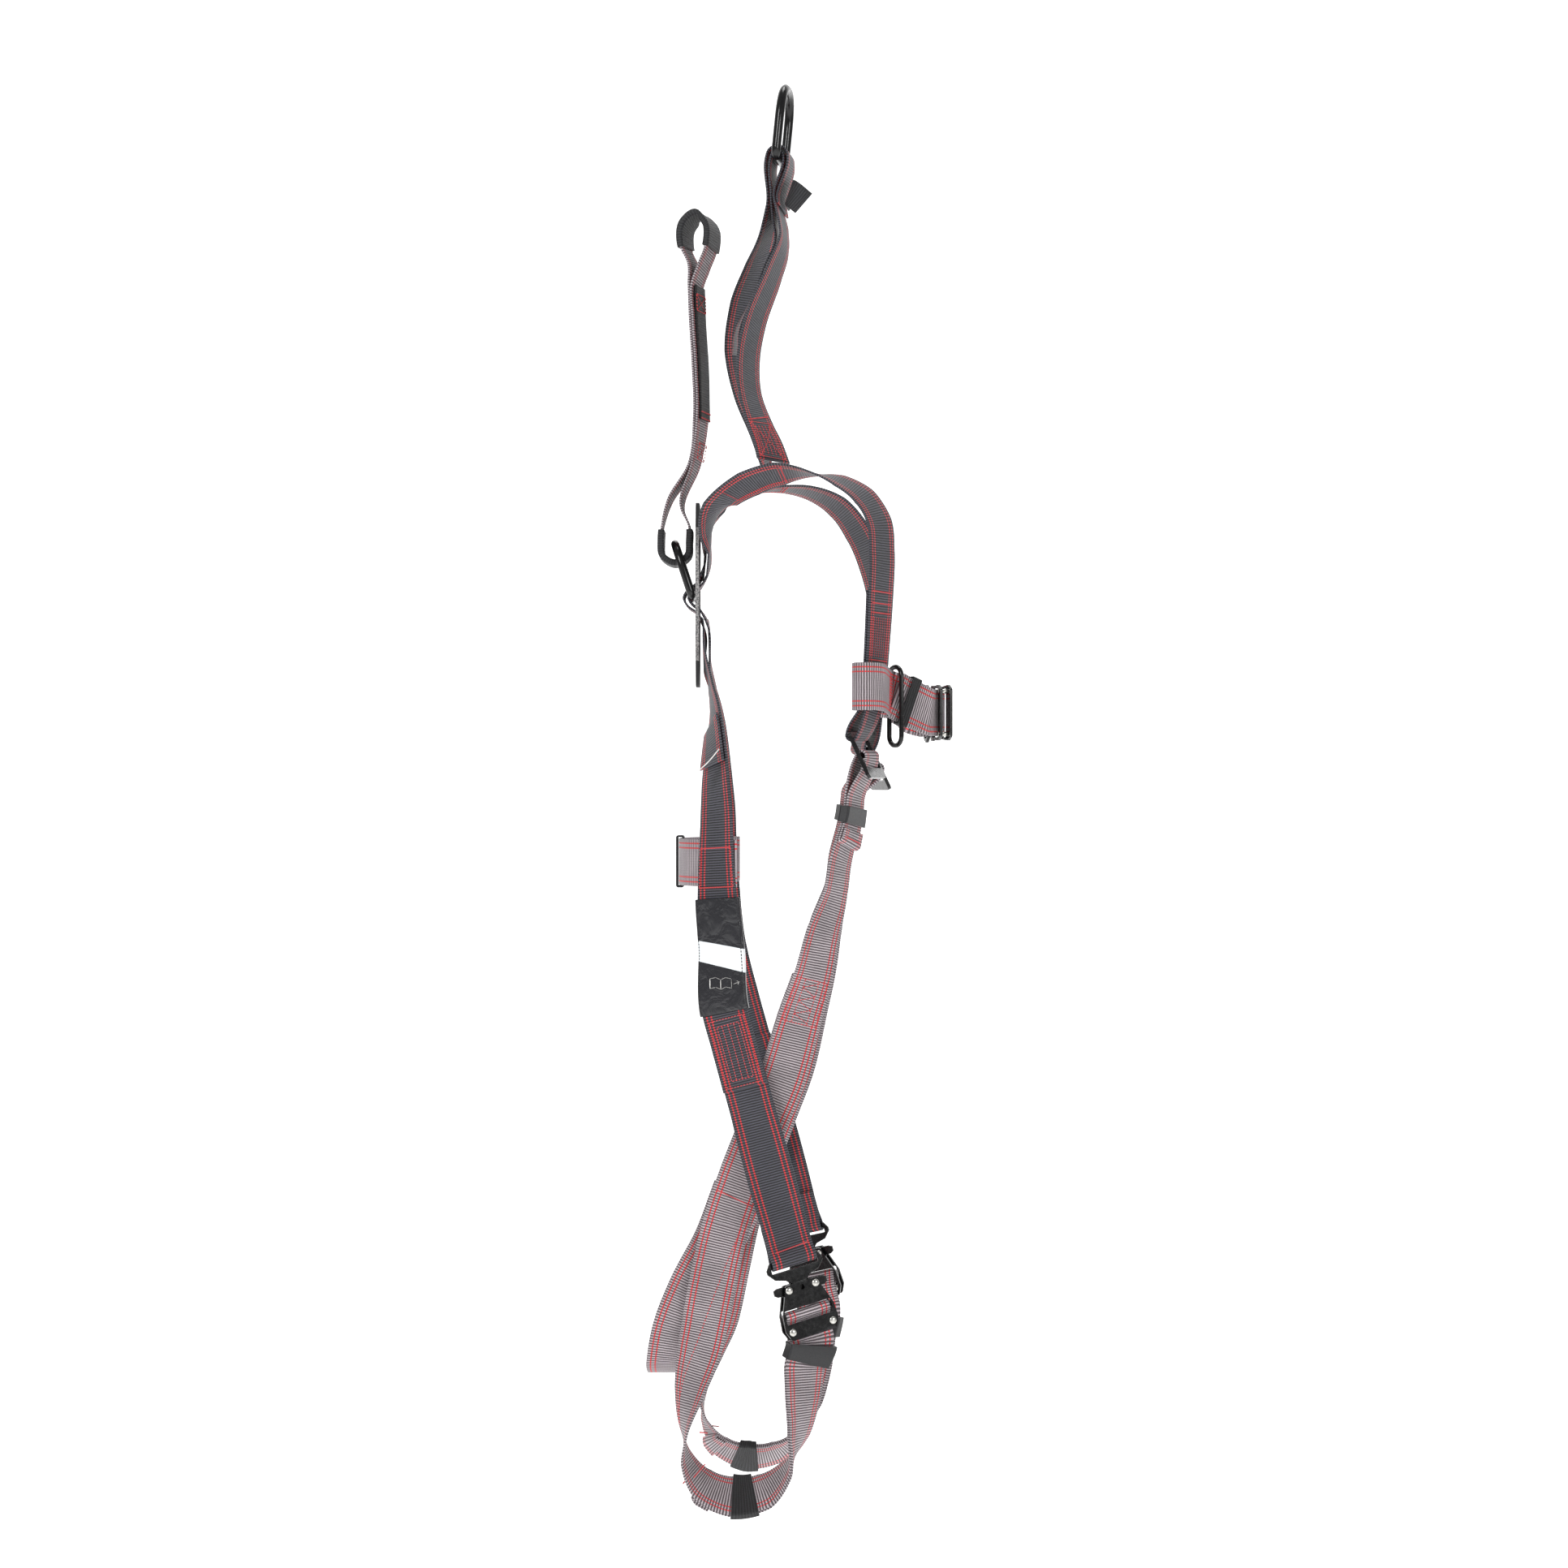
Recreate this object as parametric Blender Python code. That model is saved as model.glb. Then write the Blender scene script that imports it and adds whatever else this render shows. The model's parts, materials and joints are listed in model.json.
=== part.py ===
"""Full body safety harness, hanging from its lifting ring.

Written in millimetres and scaled once, when a mesh is made.  +X is the wearer's front, -Y the
wearer's right side, +Z up.  The origin is the inside top of the lifting ring, where it hangs.
Webbing runs along routes: hand-chosen stations of a point and a turn.  A turn of 0 lays the
webbing's width along Y, a turn of 90 lays it in the XZ plane.
"""
import math

import bmesh
import bpy
from mathutils import Matrix, Vector

MM = 0.001

# Driving dimensions, in millimetres.
HARNESS_HEIGHT = 1365.0      # lifting ring to the bottom of the leg loops, which the routes scale with
HARNESS_WIDTH = 210.0        # right to left across the hanging straps
WEB_WIDTH = 45.0             # every load-bearing strap
WEB_THICK = 2.0
LAYER_GAP = 0.5              # between two layers of webbing that are sewn together
CLEAR = 0.5                  # between webbing and the metal that it passes
BAND_CLEAR = 1.1             # between webbing and a keeper or sleeve round it
PLATE_LAYER = 4.5            # between the middles of the two straps where they cross
STITCH_STEP = 13.0           # longest stretch of a route between two cross sections

BAR_RADIUS = 2.8             # bar of the dorsal ring
BOW_POWER = 0.75             # below 1 squares a ring's bow, which is an ellipse at 1
RING_RADIUS = 4.5            # rod of the lifting ring
RING_HALF_WIDTH = 31.0       # middle of the bar to the middle of a ring's leg
LIFT_RING_HEIGHT = 68.0
DORSAL_RING_HEIGHT = 56.0
DORSAL_ROD = 4.0             # rod of the dorsal ring's bow
CHEST_RING_HEIGHT = 75.0
CHEST_RING_WIDTH = 20.0
CHEST_ROD = 2.3

PLATE_HEIGHT = 178.0         # dorsal plate
PLATE_WIDTH = 90.0
PLATE_THICK = 3.4
WINDOW_HEIGHT = 44.0         # opening in the dorsal plate, where the straps loop over the ring's bar

BUCKLE_PLATE = 2.5           # thickness of a buckle's front and back plate
BUCKLE_THROAT = 7.4          # space between the two plates
BUCKLE_BAR = 2.4             # radius of the bar that the webbing rolls over
BUCKLE_LENGTH = 51.0
BUCKLE_HALF_WIDTH = 27.0
TONGUE_THICK = 3.0
RIVET_RADIUS = 2.2
RIVET_HEAD = 3.6

ADJUSTER_LENGTH = 48.0
ADJUSTER_THICK = 3.4
ADJUSTER_BAR = 6.0
KEEPER_WALL = 1.8
SLEEVE_WALL = 1.0
KEEPER_LENGTH = 22.0         # elastic keepers on the leg straps
BUCKLE_KEEPER_LENGTH = 18.0
FRONT_KEEPER_LENGTH = 16.0
BACK_KEEPER_LENGTH = 30.0
LABEL_LENGTH = 108.0
ELASTIC_WIDTH = 10.0

LENGTH_RATIO = HARNESS_HEIGHT / 1365.0
WIDTH_RATIO = HARNESS_WIDTH / 210.0
LAYER = WEB_THICK + LAYER_GAP
HALF_WEB = WEB_WIDTH / 2
SLOT_HALF = HALF_WEB + 1.2   # a slot that webbing passes through

FINISHES = {
    "dark_webbing": ((0.030, 0.031, 0.038), 0.85, 0.0),
    "grey_webbing": ((0.230, 0.215, 0.225), 0.85, 0.0),
    "black_webbing": ((0.012, 0.012, 0.014), 0.90, 0.0),
    "black_steel": ((0.010, 0.010, 0.011), 0.25, 0.6),
    "black_plastic": ((0.015, 0.015, 0.016), 0.45, 0.0),
    "grey_plastic": ((0.120, 0.120, 0.130), 0.60, 0.0),
    "label_vinyl": ((0.030, 0.030, 0.034), 0.20, 0.0),
}


def finish(name):
    """Return the named material, made on first use."""
    material = bpy.data.materials.get(name)
    if material is None:
        colour, roughness, metallic = FINISHES[name]
        material = bpy.data.materials.new(name)
        material.use_nodes = True
        shader = material.node_tree.nodes["Principled BSDF"]
        shader.inputs["Base Color"].default_value = (*colour, 1.0)
        shader.inputs["Roughness"].default_value = roughness
        shader.inputs["Metallic"].default_value = metallic
    return material


def add_object(name, bm, finish_name, matrix=None, smooth=True):
    """Make a bmesh in millimetres into a named object, its origin at the matrix's place."""
    bmesh.ops.recalc_face_normals(bm, faces=bm.faces)
    mesh = bpy.data.meshes.new(name)
    bmesh.ops.transform(bm, matrix=Matrix.Scale(MM, 4), verts=bm.verts)
    bm.to_mesh(mesh)
    bm.free()
    mesh.materials.append(finish(finish_name))
    if smooth:
        mesh.shade_smooth()
        mesh.set_sharp_from_angle(angle=math.radians(35))
    obj = bpy.data.objects.new(name, mesh)
    bpy.context.scene.collection.objects.link(obj)
    if matrix is not None:
        place = matrix.copy()
        place.translation = matrix.translation * MM
        obj.matrix_world = place
    return obj


def frame_at(origin, across, up, facing):
    """Matrix of a piece whose own X, Y and Z point across, up and out of its face."""
    matrix = Matrix((across, up, facing)).transposed().to_4x4()
    matrix.translation = origin
    return matrix


def flat_frame(origin, yaw, lean):
    """Frame of a piece whose width starts along Y: turned about Z by yaw, leaned back by lean."""
    across = Vector((math.sin(yaw), math.cos(yaw), 0))
    forward = Vector((math.cos(yaw), -math.sin(yaw), 0))
    up = forward * math.sin(lean) + Vector((0, 0, math.cos(lean)))
    return frame_at(origin, across, up, across.cross(up))


# --- routes -----------------------------------------------------------------------------------

def at(x, y, z):
    """A point of the nominal harness, moved with the overall sizes."""
    return Vector((x * LENGTH_RATIO, y * WIDTH_RATIO, z * LENGTH_RATIO))


def mirrored(stations, forward=0.0):
    """The same stations on the other side, swung forward towards the bottom."""
    swung = []
    for x, y, z, turn in stations:
        share = min(max((-700 - z) / 300, 0), 1)
        swung.append((x + forward * share, -y, z, -turn))
    return swung


def width_direction(tangent, turn):
    """Direction of the webbing's width for a turn in degrees about the route."""
    side = Vector((0, 1, 0))
    side = (side - tangent * tangent.dot(side)).normalized()
    return side * math.cos(math.radians(turn)) + tangent.cross(side) * math.sin(math.radians(turn))


def tangents(points, closed=False):
    """Unit directions along a list of points."""
    count = len(points)
    found = []
    for i in range(count):
        before = points[(i - 1) % count] if closed or i > 0 else points[i]
        after = points[(i + 1) % count] if closed or i < count - 1 else points[i]
        found.append((after - before).normalized())
    return found


def resolve(stations):
    """Turn stations into pairs of a point and a width direction."""
    points = [at(*s[:3]) if len(s) == 4 else s[0] for s in stations]
    directions = tangents(points)
    pairs = []
    for station, point, tangent in zip(stations, points, directions):
        width = width_direction(tangent, station[3]) if len(station) == 4 else station[1]
        pairs.append((point, width))
    return pairs


def smooth(pairs, closed=False):
    """Resample pairs along a smooth curve, closer together where the route bends."""
    count = len(pairs)
    points = [p for p, w in pairs]
    slopes = []
    for i in range(count):
        if not closed and i in (0, count - 1):
            near = points[1] - points[0] if i == 0 else points[-1] - points[-2]
            slopes.append(near / near.length)
            continue
        back = points[i] - points[i - 1]
        ahead = points[(i + 1) % count] - points[i]
        d0, d1 = back.length, ahead.length
        slopes.append((back / d0 * d1 + ahead / d1 * d0) / (d0 + d1))
    fine = []
    for i in range(count if closed else count - 1):
        j = (i + 1) % count
        p0, p1 = points[i], points[j]
        w0, w1 = pairs[i][1], pairs[j][1]
        if w0.dot(w1) < 0:
            w1 = -w1
        span = (p1 - p0).length
        bend = math.degrees(slopes[i].angle(slopes[j])) + math.degrees(w0.angle(w1)) * 0.5
        steps = max(1, math.ceil(span / STITCH_STEP - 0.35), math.ceil(bend / 14 - 0.35))
        for k in range(steps):
            t = k / steps
            a = 2 * t ** 3 - 3 * t ** 2 + 1
            b = t ** 3 - 2 * t ** 2 + t
            c = 3 * t ** 2 - 2 * t ** 3
            d = t ** 3 - t ** 2
            point = p0 * a + slopes[i] * span * b + p1 * c + slopes[j] * span * d
            fine.append((point, w0.lerp(w1, t).normalized()))
    if not closed:
        fine.append(pairs[-1])
    return fine


def squared(pairs, closed=False):
    """Triples of point, width and thickness direction, with the widths square to the route."""
    directions = tangents([p for p, w in pairs], closed)
    triples = []
    last = None
    for (point, width), tangent in zip(pairs, directions):
        width = (width - tangent * tangent.dot(width)).normalized()
        if last is not None and last.dot(width) < 0:
            width = -width
        last = width
        triples.append((point, width, tangent.cross(width)))
    return triples


def beside(pairs, distance):
    """The same route moved along the webbing's thickness direction."""
    return [(point + out * distance, width) for point, width, out in squared(pairs)]


def between(pairs, high, low):
    """The part of a route whose height lies between two nominal heights."""
    return [pair for pair in pairs if low * LENGTH_RATIO <= pair[0].z <= high * LENGTH_RATIO]


def section(pairs, near, length, steps=4):
    """The stretch of a route of a given length, centred where it passes nearest to a point."""
    reach = [0.0]
    nearest = []
    for (a, _), (b, _) in zip(pairs, pairs[1:]):
        span = (b - a).length
        t = min(max((near - a).dot(b - a) / span ** 2, 0.0), 1.0)
        nearest.append(((a.lerp(b, t) - near).length, reach[-1] + span * t))
        reach.append(reach[-1] + span)
    middle = min(nearest)[1]
    found = []
    for k in range(steps + 1):
        place = min(max(middle + length * (k / steps - 0.5), 0.0), reach[-1] - 0.001)
        i = next(j for j in range(len(reach) - 1) if reach[j + 1] > place)
        t = (place - reach[i]) / (reach[i + 1] - reach[i])
        w0, w1 = pairs[i][1], pairs[i + 1][1]
        w1 = -w1 if w0.dot(w1) < 0 else w1
        found.append((pairs[i][0].lerp(pairs[i + 1][0], t), w0.lerp(w1, t).normalized()))
    return found


def round_bar(frame, centre, radius, start, end, steps=8):
    """Pairs on an arc about a bar that runs along the frame's X; angles in the frame's YZ plane."""
    width = frame.to_3x3() @ Vector((1, 0, 0))
    pairs = []
    for k in range(steps + 1):
        angle = math.radians(start + (end - start) * k / steps)
        local = Vector((0, centre[0] + radius * math.cos(angle), centre[1] + radius * math.sin(angle)))
        pairs.append((frame @ local, width))
    return pairs


def on_frame(frame, *places):
    """Pairs at places (up, out) in a frame's middle plane, the width along the frame's X."""
    width = frame.to_3x3() @ Vector((1, 0, 0))
    return [(frame @ Vector((0, up, out)), width) for up, out in places]


# --- solids ------------------------------------------------------------------------------------

def outreach(a, b):
    """Distance of two corners' midpoint from the harness's middle: layers split alike by it."""
    return ((a.co + b.co) / 2 - at(0, 0, -800)).length


def sweep(name, pairs, outline, finish_name, hollow=None, closed=False):
    """Sweep an outline of (width, thickness) places along a route, or a tube with a hollow."""
    bm = bmesh.new()
    loops = [outline] if hollow is None else [outline, hollow]
    rings = []
    for point, width, out in squared(pairs, closed):
        rings.append([[bm.verts.new(point + width * u + out * v) for u, v in loop] for loop in loops])
    sides = len(outline)
    for first, second in zip(rings, rings[1:] + rings[:1] if closed else rings[1:]):
        for a, b in zip(first, second):
            for k in range(sides):
                j = (k + 1) % sides
                corners = (a[k], a[j], b[j], b[k])
                if outreach(a[k], b[j]) < outreach(a[j], b[k]):
                    corners = corners[1:] + corners[:1]
                bm.faces.new((corners[0], corners[1], corners[2]))
                bm.faces.new((corners[0], corners[2], corners[3]))
    if not closed:
        for ring in (rings[0], rings[-1]):
            if hollow is None:
                bm.faces.new(ring[0])
                continue
            for k in range(sides):
                j = (k + 1) % sides
                bm.faces.new((ring[0][k], ring[0][j], ring[1][j], ring[1][k]))
    return add_object(name, bm, finish_name)


def box_outline(width, thick, middle=0.0):
    """Rectangle of a webbing's cross section, its thickness centred on middle."""
    half, low, high = width / 2, middle - thick / 2, middle + thick / 2
    return [(-half, low), (half, low), (half, high), (-half, high)]


def webbing(name, pairs, finish_name, width=WEB_WIDTH, thick=WEB_THICK, closed=False):
    """A strap along a route."""
    return sweep(name, pairs, box_outline(width, thick), finish_name, closed=closed)


def band(name, pairs, finish_name, stack, wall, middle=0.0, side_clear=1.0, web=WEB_WIDTH):
    """A tube of rectangular section round webbing whose layers are stack thick in all."""
    hollow = box_outline(web + 2 * side_clear, stack + 2 * BAND_CLEAR, middle)
    outline = box_outline(web + 2 * (side_clear + wall), stack + 2 * (BAND_CLEAR + wall), middle)
    return sweep(name, pairs, outline, finish_name, hollow=hollow)


def arc_points(centre, radius, start, end, steps=4):
    """Points on an arc, angles in degrees."""
    points = []
    for k in range(steps + 1):
        angle = math.radians(start + (end - start) * k / steps)
        points.append((centre[0] + radius * math.cos(angle), centre[1] + radius * math.sin(angle)))
    return points


def rounded(corners, radius, steps=3):
    """Closed outline through corners, each cut by an arc."""
    points = []
    count = len(corners)
    for i in range(count):
        corner = Vector(corners[i])
        back = (Vector(corners[i - 1]) - corner).normalized()
        ahead = (Vector(corners[(i + 1) % count]) - corner).normalized()
        half = back.angle(ahead) / 2
        reach = radius / math.tan(half)
        start = corner + back * reach
        end = corner + ahead * reach
        middle = corner + (back + ahead).normalized() * (radius / math.sin(half))
        for k in range(steps + 1):
            spoke = (start - middle).lerp(end - middle, k / steps).normalized() * radius
            points.append(tuple(middle + spoke))
    return points


def rectangle(low_x, low_y, high_x, high_y, radius=1.5):
    """Rounded rectangle."""
    return rounded([(low_x, low_y), (high_x, low_y), (high_x, high_y), (low_x, high_y)], radius)


def disc(x, y, radius, steps=14):
    """Round hole or disc."""
    return arc_points((x, y), radius, 0, 360 - 360 / steps, steps - 1)


def slab(outlines, low, high):
    """A bmesh plate between two heights; the first outline is its rim, the rest are its holes."""
    bm = bmesh.new()
    for outline in outlines:
        verts = [bm.verts.new((x, y, low)) for x, y in outline]
        for k in range(len(verts)):
            bm.edges.new((verts[k - 1], verts[k]))
    bmesh.ops.triangle_fill(bm, use_beauty=True, use_dissolve=False, edges=bm.edges)
    extruded = bmesh.ops.extrude_face_region(bm, geom=bm.faces)
    moved = [item for item in extruded["geom"] if isinstance(item, bmesh.types.BMVert)]
    bmesh.ops.translate(bm, verts=moved, vec=(0, 0, high - low))
    return bm


def ring(name, points, rod, matrix, bar_rod=None):
    """Round rod along a closed outline; a point at height 0 belongs to the bar."""
    curve = bpy.data.curves.new(name, "CURVE")
    curve.dimensions = "3D"
    curve.bevel_depth = rod * MM
    curve.bevel_resolution = 2
    curve.materials.append(finish("black_steel"))
    spline = curve.splines.new("POLY")
    spline.points.add(len(points) - 1)
    spline.use_cyclic_u = True
    for target, (x, y) in zip(spline.points, points):
        target.co = (x * MM, y * MM, 0, 1)
        if bar_rod is not None and y < 2:
            target.radius = bar_rod / rod
    obj = bpy.data.objects.new(name, curve)
    bpy.context.scene.collection.objects.link(obj)
    place = matrix.copy()
    place.translation = matrix.translation * MM
    obj.matrix_world = place


def d_outline(half_width, height):
    """Middle line of a D-ring: its bar on the X axis about the origin, its bow towards +Y."""
    corner = 7.0
    shoulder = height * 0.45
    left = arc_points((-half_width + corner, corner), corner, 270, 180, 3)
    right = arc_points((half_width - corner, corner), corner, 0, -90, 3)
    bow = [(math.copysign(abs(x) ** BOW_POWER, x) * half_width,
            shoulder + y ** BOW_POWER * (height - shoulder)) for x, y in arc_points((0, 0), 1, 180, 0, 14)]
    return left + bow + right


# --- quick-release buckles -----------------------------------------------------------------------
# A buckle's own frame: X across the webbing, Y towards the tongue, Z out of its front face.

ROLL_Y = -6.0                # bar that the webbing rolls over
TONGUE_BAR_Y = 44.0          # bar of the tongue, where the other strap is sewn
TONGUE_BAR_HEIGHT = 5.0
LEVER_PIVOT = (13.6, 18.0)
LEVER_TIP = 8.4              # how near a lever's hook comes to the buckle's middle line
LOWER_RIVET = (20.6, -20.5)
BLADE_HALF = 8.0
PLATE_INNER = BUCKLE_THROAT / 2
PLATE_OUTER = PLATE_INNER + BUCKLE_PLATE
ROLL_RADIUS = BUCKLE_BAR + CLEAR + WEB_THICK / 2
BACK_LAYER = PLATE_OUTER + CLEAR + 0.3 + WEB_THICK / 2


def both_sides(half):
    """Complete an outline given by its right half, from bottom to top."""
    return half + [(-x, y) for x, y in reversed(half)]


def plate_outline():
    """Outline of a buckle's plates."""
    low = -BUCKLE_LENGTH / 2 - 2.5
    high = low + BUCKLE_LENGTH
    wide = BUCKLE_HALF_WIDTH
    corners = both_sides([(wide - 4, low), (wide, low + 9), (wide - 1, low + 24),
                          (wide - 8, high - 9), (wide - 11, high)])
    return rounded(corners, 2.5, 2)


def buckle(prefix, matrix):
    """Front plate, back plate with bar and rivets, tongue, and two latch levers."""
    rivets = [(x * side, y) for x, y in (LEVER_PIVOT, LOWER_RIVET) for side in (1, -1)]
    holes = [disc(x, y, RIVET_RADIUS + 0.4, 10) for x, y in rivets]
    window = rectangle(-SLOT_HALF, ROLL_Y - ROLL_RADIUS - 3.2, SLOT_HALF, ROLL_Y + ROLL_RADIUS + 2.4)
    front = slab([plate_outline(), window, disc(0, LEVER_PIVOT[1], 2.6, 10)] + holes,
                 PLATE_INNER, PLATE_OUTER)
    add_object(prefix + "_front_plate", front, "black_steel", matrix)

    back_window = rectangle(-SLOT_HALF, ROLL_Y - 13.8, SLOT_HALF, ROLL_Y + ROLL_RADIUS + 2.4)
    back = slab([plate_outline(), back_window], -PLATE_OUTER, -PLATE_INNER)
    plate = add_object(prefix + "_back_plate", back, "black_steel", matrix)
    fixings = [stepped_pin(x, y) for x, y in rivets]
    fixings.append(cross_bar())
    for fixing in fixings:
        fixing.parent = plate
        union = plate.modifiers.new("join", "BOOLEAN")
        union.operation = "UNION"
        union.object = fixing

    add_object(prefix + "_tongue", slab([tongue_outline(), tongue_slot()],
               -TONGUE_THICK / 2, TONGUE_THICK / 2), "black_steel", matrix)
    for side, letter in ((1, "a"), (-1, "b")):
        outline = [(x * side, y) for x, y in lever_outline()]
        outline = [(x - LEVER_PIVOT[0] * side, y - LEVER_PIVOT[1]) for x, y in outline]
        lever = slab([outline, disc(0, 0, RIVET_RADIUS + 0.4, 10)], -1.4, 1.4)
        place = matrix @ Matrix.Translation((LEVER_PIVOT[0] * side, LEVER_PIVOT[1], 0))
        add_object(prefix + "_lever_" + letter, lever, "black_steel", place)


def hidden_tool(name, bm):
    """A solid that only shapes another one."""
    tool = add_object(name, bm, "black_steel")
    tool.hide_render = True
    tool.display_type = "WIRE"
    return tool


def stepped_pin(x, y):
    """A rivet from inside the back plate to a domed head on the front plate."""
    profile = [(0, -PLATE_OUTER + 0.5), (RIVET_RADIUS, -PLATE_OUTER + 0.5),
               (RIVET_RADIUS, PLATE_OUTER + 0.4), (RIVET_HEAD, PLATE_OUTER + 0.4),
               (RIVET_HEAD * 0.8, PLATE_OUTER + 1.3), (0, PLATE_OUTER + 1.8)]
    bm = bmesh.new()
    verts = [bm.verts.new((r, 0, z)) for r, z in profile]
    edges = [bm.edges.new(pair) for pair in zip(verts, verts[1:])]
    bmesh.ops.spin(bm, geom=verts + edges, cent=(0, 0, 0), axis=(0, 0, 1), angle=math.tau,
                   steps=10, use_merge=True)
    bmesh.ops.remove_doubles(bm, verts=bm.verts, dist=0.001)
    bmesh.ops.translate(bm, verts=bm.verts, vec=(x, y, 0))
    return hidden_tool("pin_tool", bm)


def cross_bar():
    """The bar across the back plate's window, on a foot at each end."""
    foot = SLOT_HALF + 1.0
    bm = bmesh.new()
    bmesh.ops.create_cone(bm, cap_ends=True, segments=10, radius1=BUCKLE_BAR, radius2=BUCKLE_BAR,
                          depth=2 * foot + 1.6, matrix=Matrix.Rotation(math.pi / 2, 4, "Y"))
    bmesh.ops.translate(bm, verts=bm.verts, vec=(0, ROLL_Y, 0))
    tool = hidden_tool("bar_tool", bm)
    for side in (1, -1):
        post = bmesh.new()
        bmesh.ops.create_cube(post, size=1)
        bmesh.ops.scale(post, verts=post.verts, vec=(1.6, 2 * BUCKLE_BAR + 1, PLATE_OUTER + BUCKLE_BAR - 0.6))
        bmesh.ops.translate(post, verts=post.verts,
                            vec=(side * foot, ROLL_Y, (BUCKLE_BAR - PLATE_OUTER + 0.6) / 2))
        union = tool.modifiers.new("foot", "BOOLEAN")
        union.operation = "UNION"
        union.object = hidden_tool("foot_tool", post)
        union.object.parent = tool
    return tool


def tongue_outline():
    """Blade that flares behind the levers' hooks, then the frame that holds the webbing."""
    flare = 1.1
    frame_low = BUCKLE_LENGTH / 2 - 2.5 + 4.0
    frame_half = SLOT_HALF + 4.6
    top = TONGUE_BAR_Y + TONGUE_BAR_HEIGHT / 2
    half = [(BLADE_HALF + flare - 1, 0.3), (BLADE_HALF + flare, 1.2), (BLADE_HALF, 5.5),
            (BLADE_HALF, frame_low - 4), (BLADE_HALF + 4, frame_low), (frame_half - 6, frame_low + 3),
            (frame_half, frame_low + 10), (frame_half, top - 6), (frame_half - 4, top)]
    return both_sides(half)


def tongue_slot():
    """Slot of the tongue, under its bar."""
    high = TONGUE_BAR_Y - TONGUE_BAR_HEIGHT / 2
    return rectangle(-SLOT_HALF, high - WEB_THICK - 3.2, SLOT_HALF, high, 1.0)


def lever_outline():
    """Latch lever on the right: an ear outside the plates, a hook that rests on the blade."""
    ear = BUCKLE_HALF_WIDTH
    return [(LEVER_TIP, 5.2), (LEVER_TIP, 8.6), (9.6, 11), (9.6, 21), (17, 22.4), (ear - 4, 22.4),
            (ear, 21), (ear, 16), (ear - 3, 14), (19.5, 14), (16.5, 8), (12.5, 3.2)]


def tongue_roll(frame):
    """Webbing round the tongue's bar: down its front, through the slot and up behind."""
    radius = math.hypot(TONGUE_BAR_HEIGHT, TONGUE_THICK) / 2 + CLEAR + WEB_THICK / 2
    return round_bar(frame, (TONGUE_BAR_Y, 0), radius, 90, 270)


def buckle_roll(frame):
    """Webbing from behind the buckle, over its bar, and back out behind."""
    return round_bar(frame, (ROLL_Y, 0), ROLL_RADIUS, 295, 496, 10)


# --- frames of the hardware ----------------------------------------------------------------------

def leg_buckle_frame(side):
    """Frame of a leg buckle: the tongue points up and back, the face out and a little forward."""
    origin = at(20, -110, -1161) if side < 0 else at(29, 110, -1159)
    up = Vector((-0.262, -0.028 * side, 0.965)).normalized()
    facing = Vector((0.34, 0.94 * side, 0))
    facing = (facing - up * up.dot(facing)).normalized()
    return frame_at(origin, up.cross(facing), up, facing)


def chest_buckle_frame():
    """Frame of the chest buckle: the tongue points to the wearer's left."""
    yaw = math.radians(14)
    up = Vector((-math.sin(yaw), math.cos(yaw), 0))
    facing = Vector((math.cos(yaw), math.sin(yaw), 0))
    return frame_at(at(150, 0, -601), up.cross(facing), up, facing)


def adjuster_frame(side):
    """Frame of a slide adjuster: Y from its lip up to its top bar, Z out of its front."""
    origin = at(78, -88, -642) if side < 0 else at(87, 92, -653)
    return flat_frame(origin, -math.radians(17) * side, -math.radians(26))


def lift_ring_frame():
    """Frame of the lifting ring: X along its bar, Y up to its bow."""
    top = Vector((3, 0, RING_RADIUS))
    up = Vector((0.1, 0, 0.995))
    frame = flat_frame(top - up * LIFT_RING_HEIGHT, math.radians(8), 0)
    across = frame.to_3x3() @ Vector((1, 0, 0))
    across = (across - up * up.dot(across)).normalized()
    return frame_at(frame.translation, across, up, across.cross(up))


DORSAL_BAR = at(-88.5, 0, -490)
DORSAL_LEAN = -math.radians(18)
EXTENSION_TURN = math.radians(13)


def dorsal_ring_frame():
    """Frame of the dorsal ring: X along its bar, Y up to its bow."""
    return flat_frame(DORSAL_BAR, 0, DORSAL_LEAN)


# --- routes of the straps --------------------------------------------------------------------------

HIP = [(-59, -103, -826, 62), (-63, -102, -779, 57), (-64, -100, -742, 48), (-64, -96, -696, 42),
       (-65, -92, -665, 35), (-66, -78, -619, 20), (-69, -58, -588, 8), (-73, -42, -564, 4)]
SHOULDER_RIGHT = [(-70, -38, -417, -18), (-61, -55, -402, -28), (-34, -68, -384, -32),
                  (-5, -75, -375, -25), (26, -79, -375, 0), (53, -82, -382, 20), (76, -84, -397, 30),
                  (90, -86, -420, 33), (93, -87, -450, 33), (92, -88, -488, 32), (90, -88, -527, 30),
                  (88, -88, -558, 28), (86, -88, -588, 24)]
SHOULDER_LEFT = [(-70, 38, -414, 18), (-62, 55, -397, 10), (-34, 68, -382, 6), (2, 75, -377, -4),
                 (28, 79, -381, -14), (53, 82, -394, -26), (73, 84, -419, -32), (88, 86, -456, -30),
                 (95, 88, -492, -26), (96, 89, -530, -22), (95, 90, -565, -16), (92, 91, -598, -14)]
LAP_TURN = 74.0              # turn of both webbings where the hip strap laps the shoulder strap
LAP_GAP = 3.2                # from one webbing's middle to the other's, there
LAP_LOW, LAP_HIGH, LAP_TOP = 212.0, 258.0, 288.0   # distances from the buckle's middle, up the strap
HIP_STRAP_END = 249.0        # end of the hip strap, which leaves room for the tongue's travel
HIP_STRAP_BEND = 188.0       # straight above here, so that it slides along the shoulder strap

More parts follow.
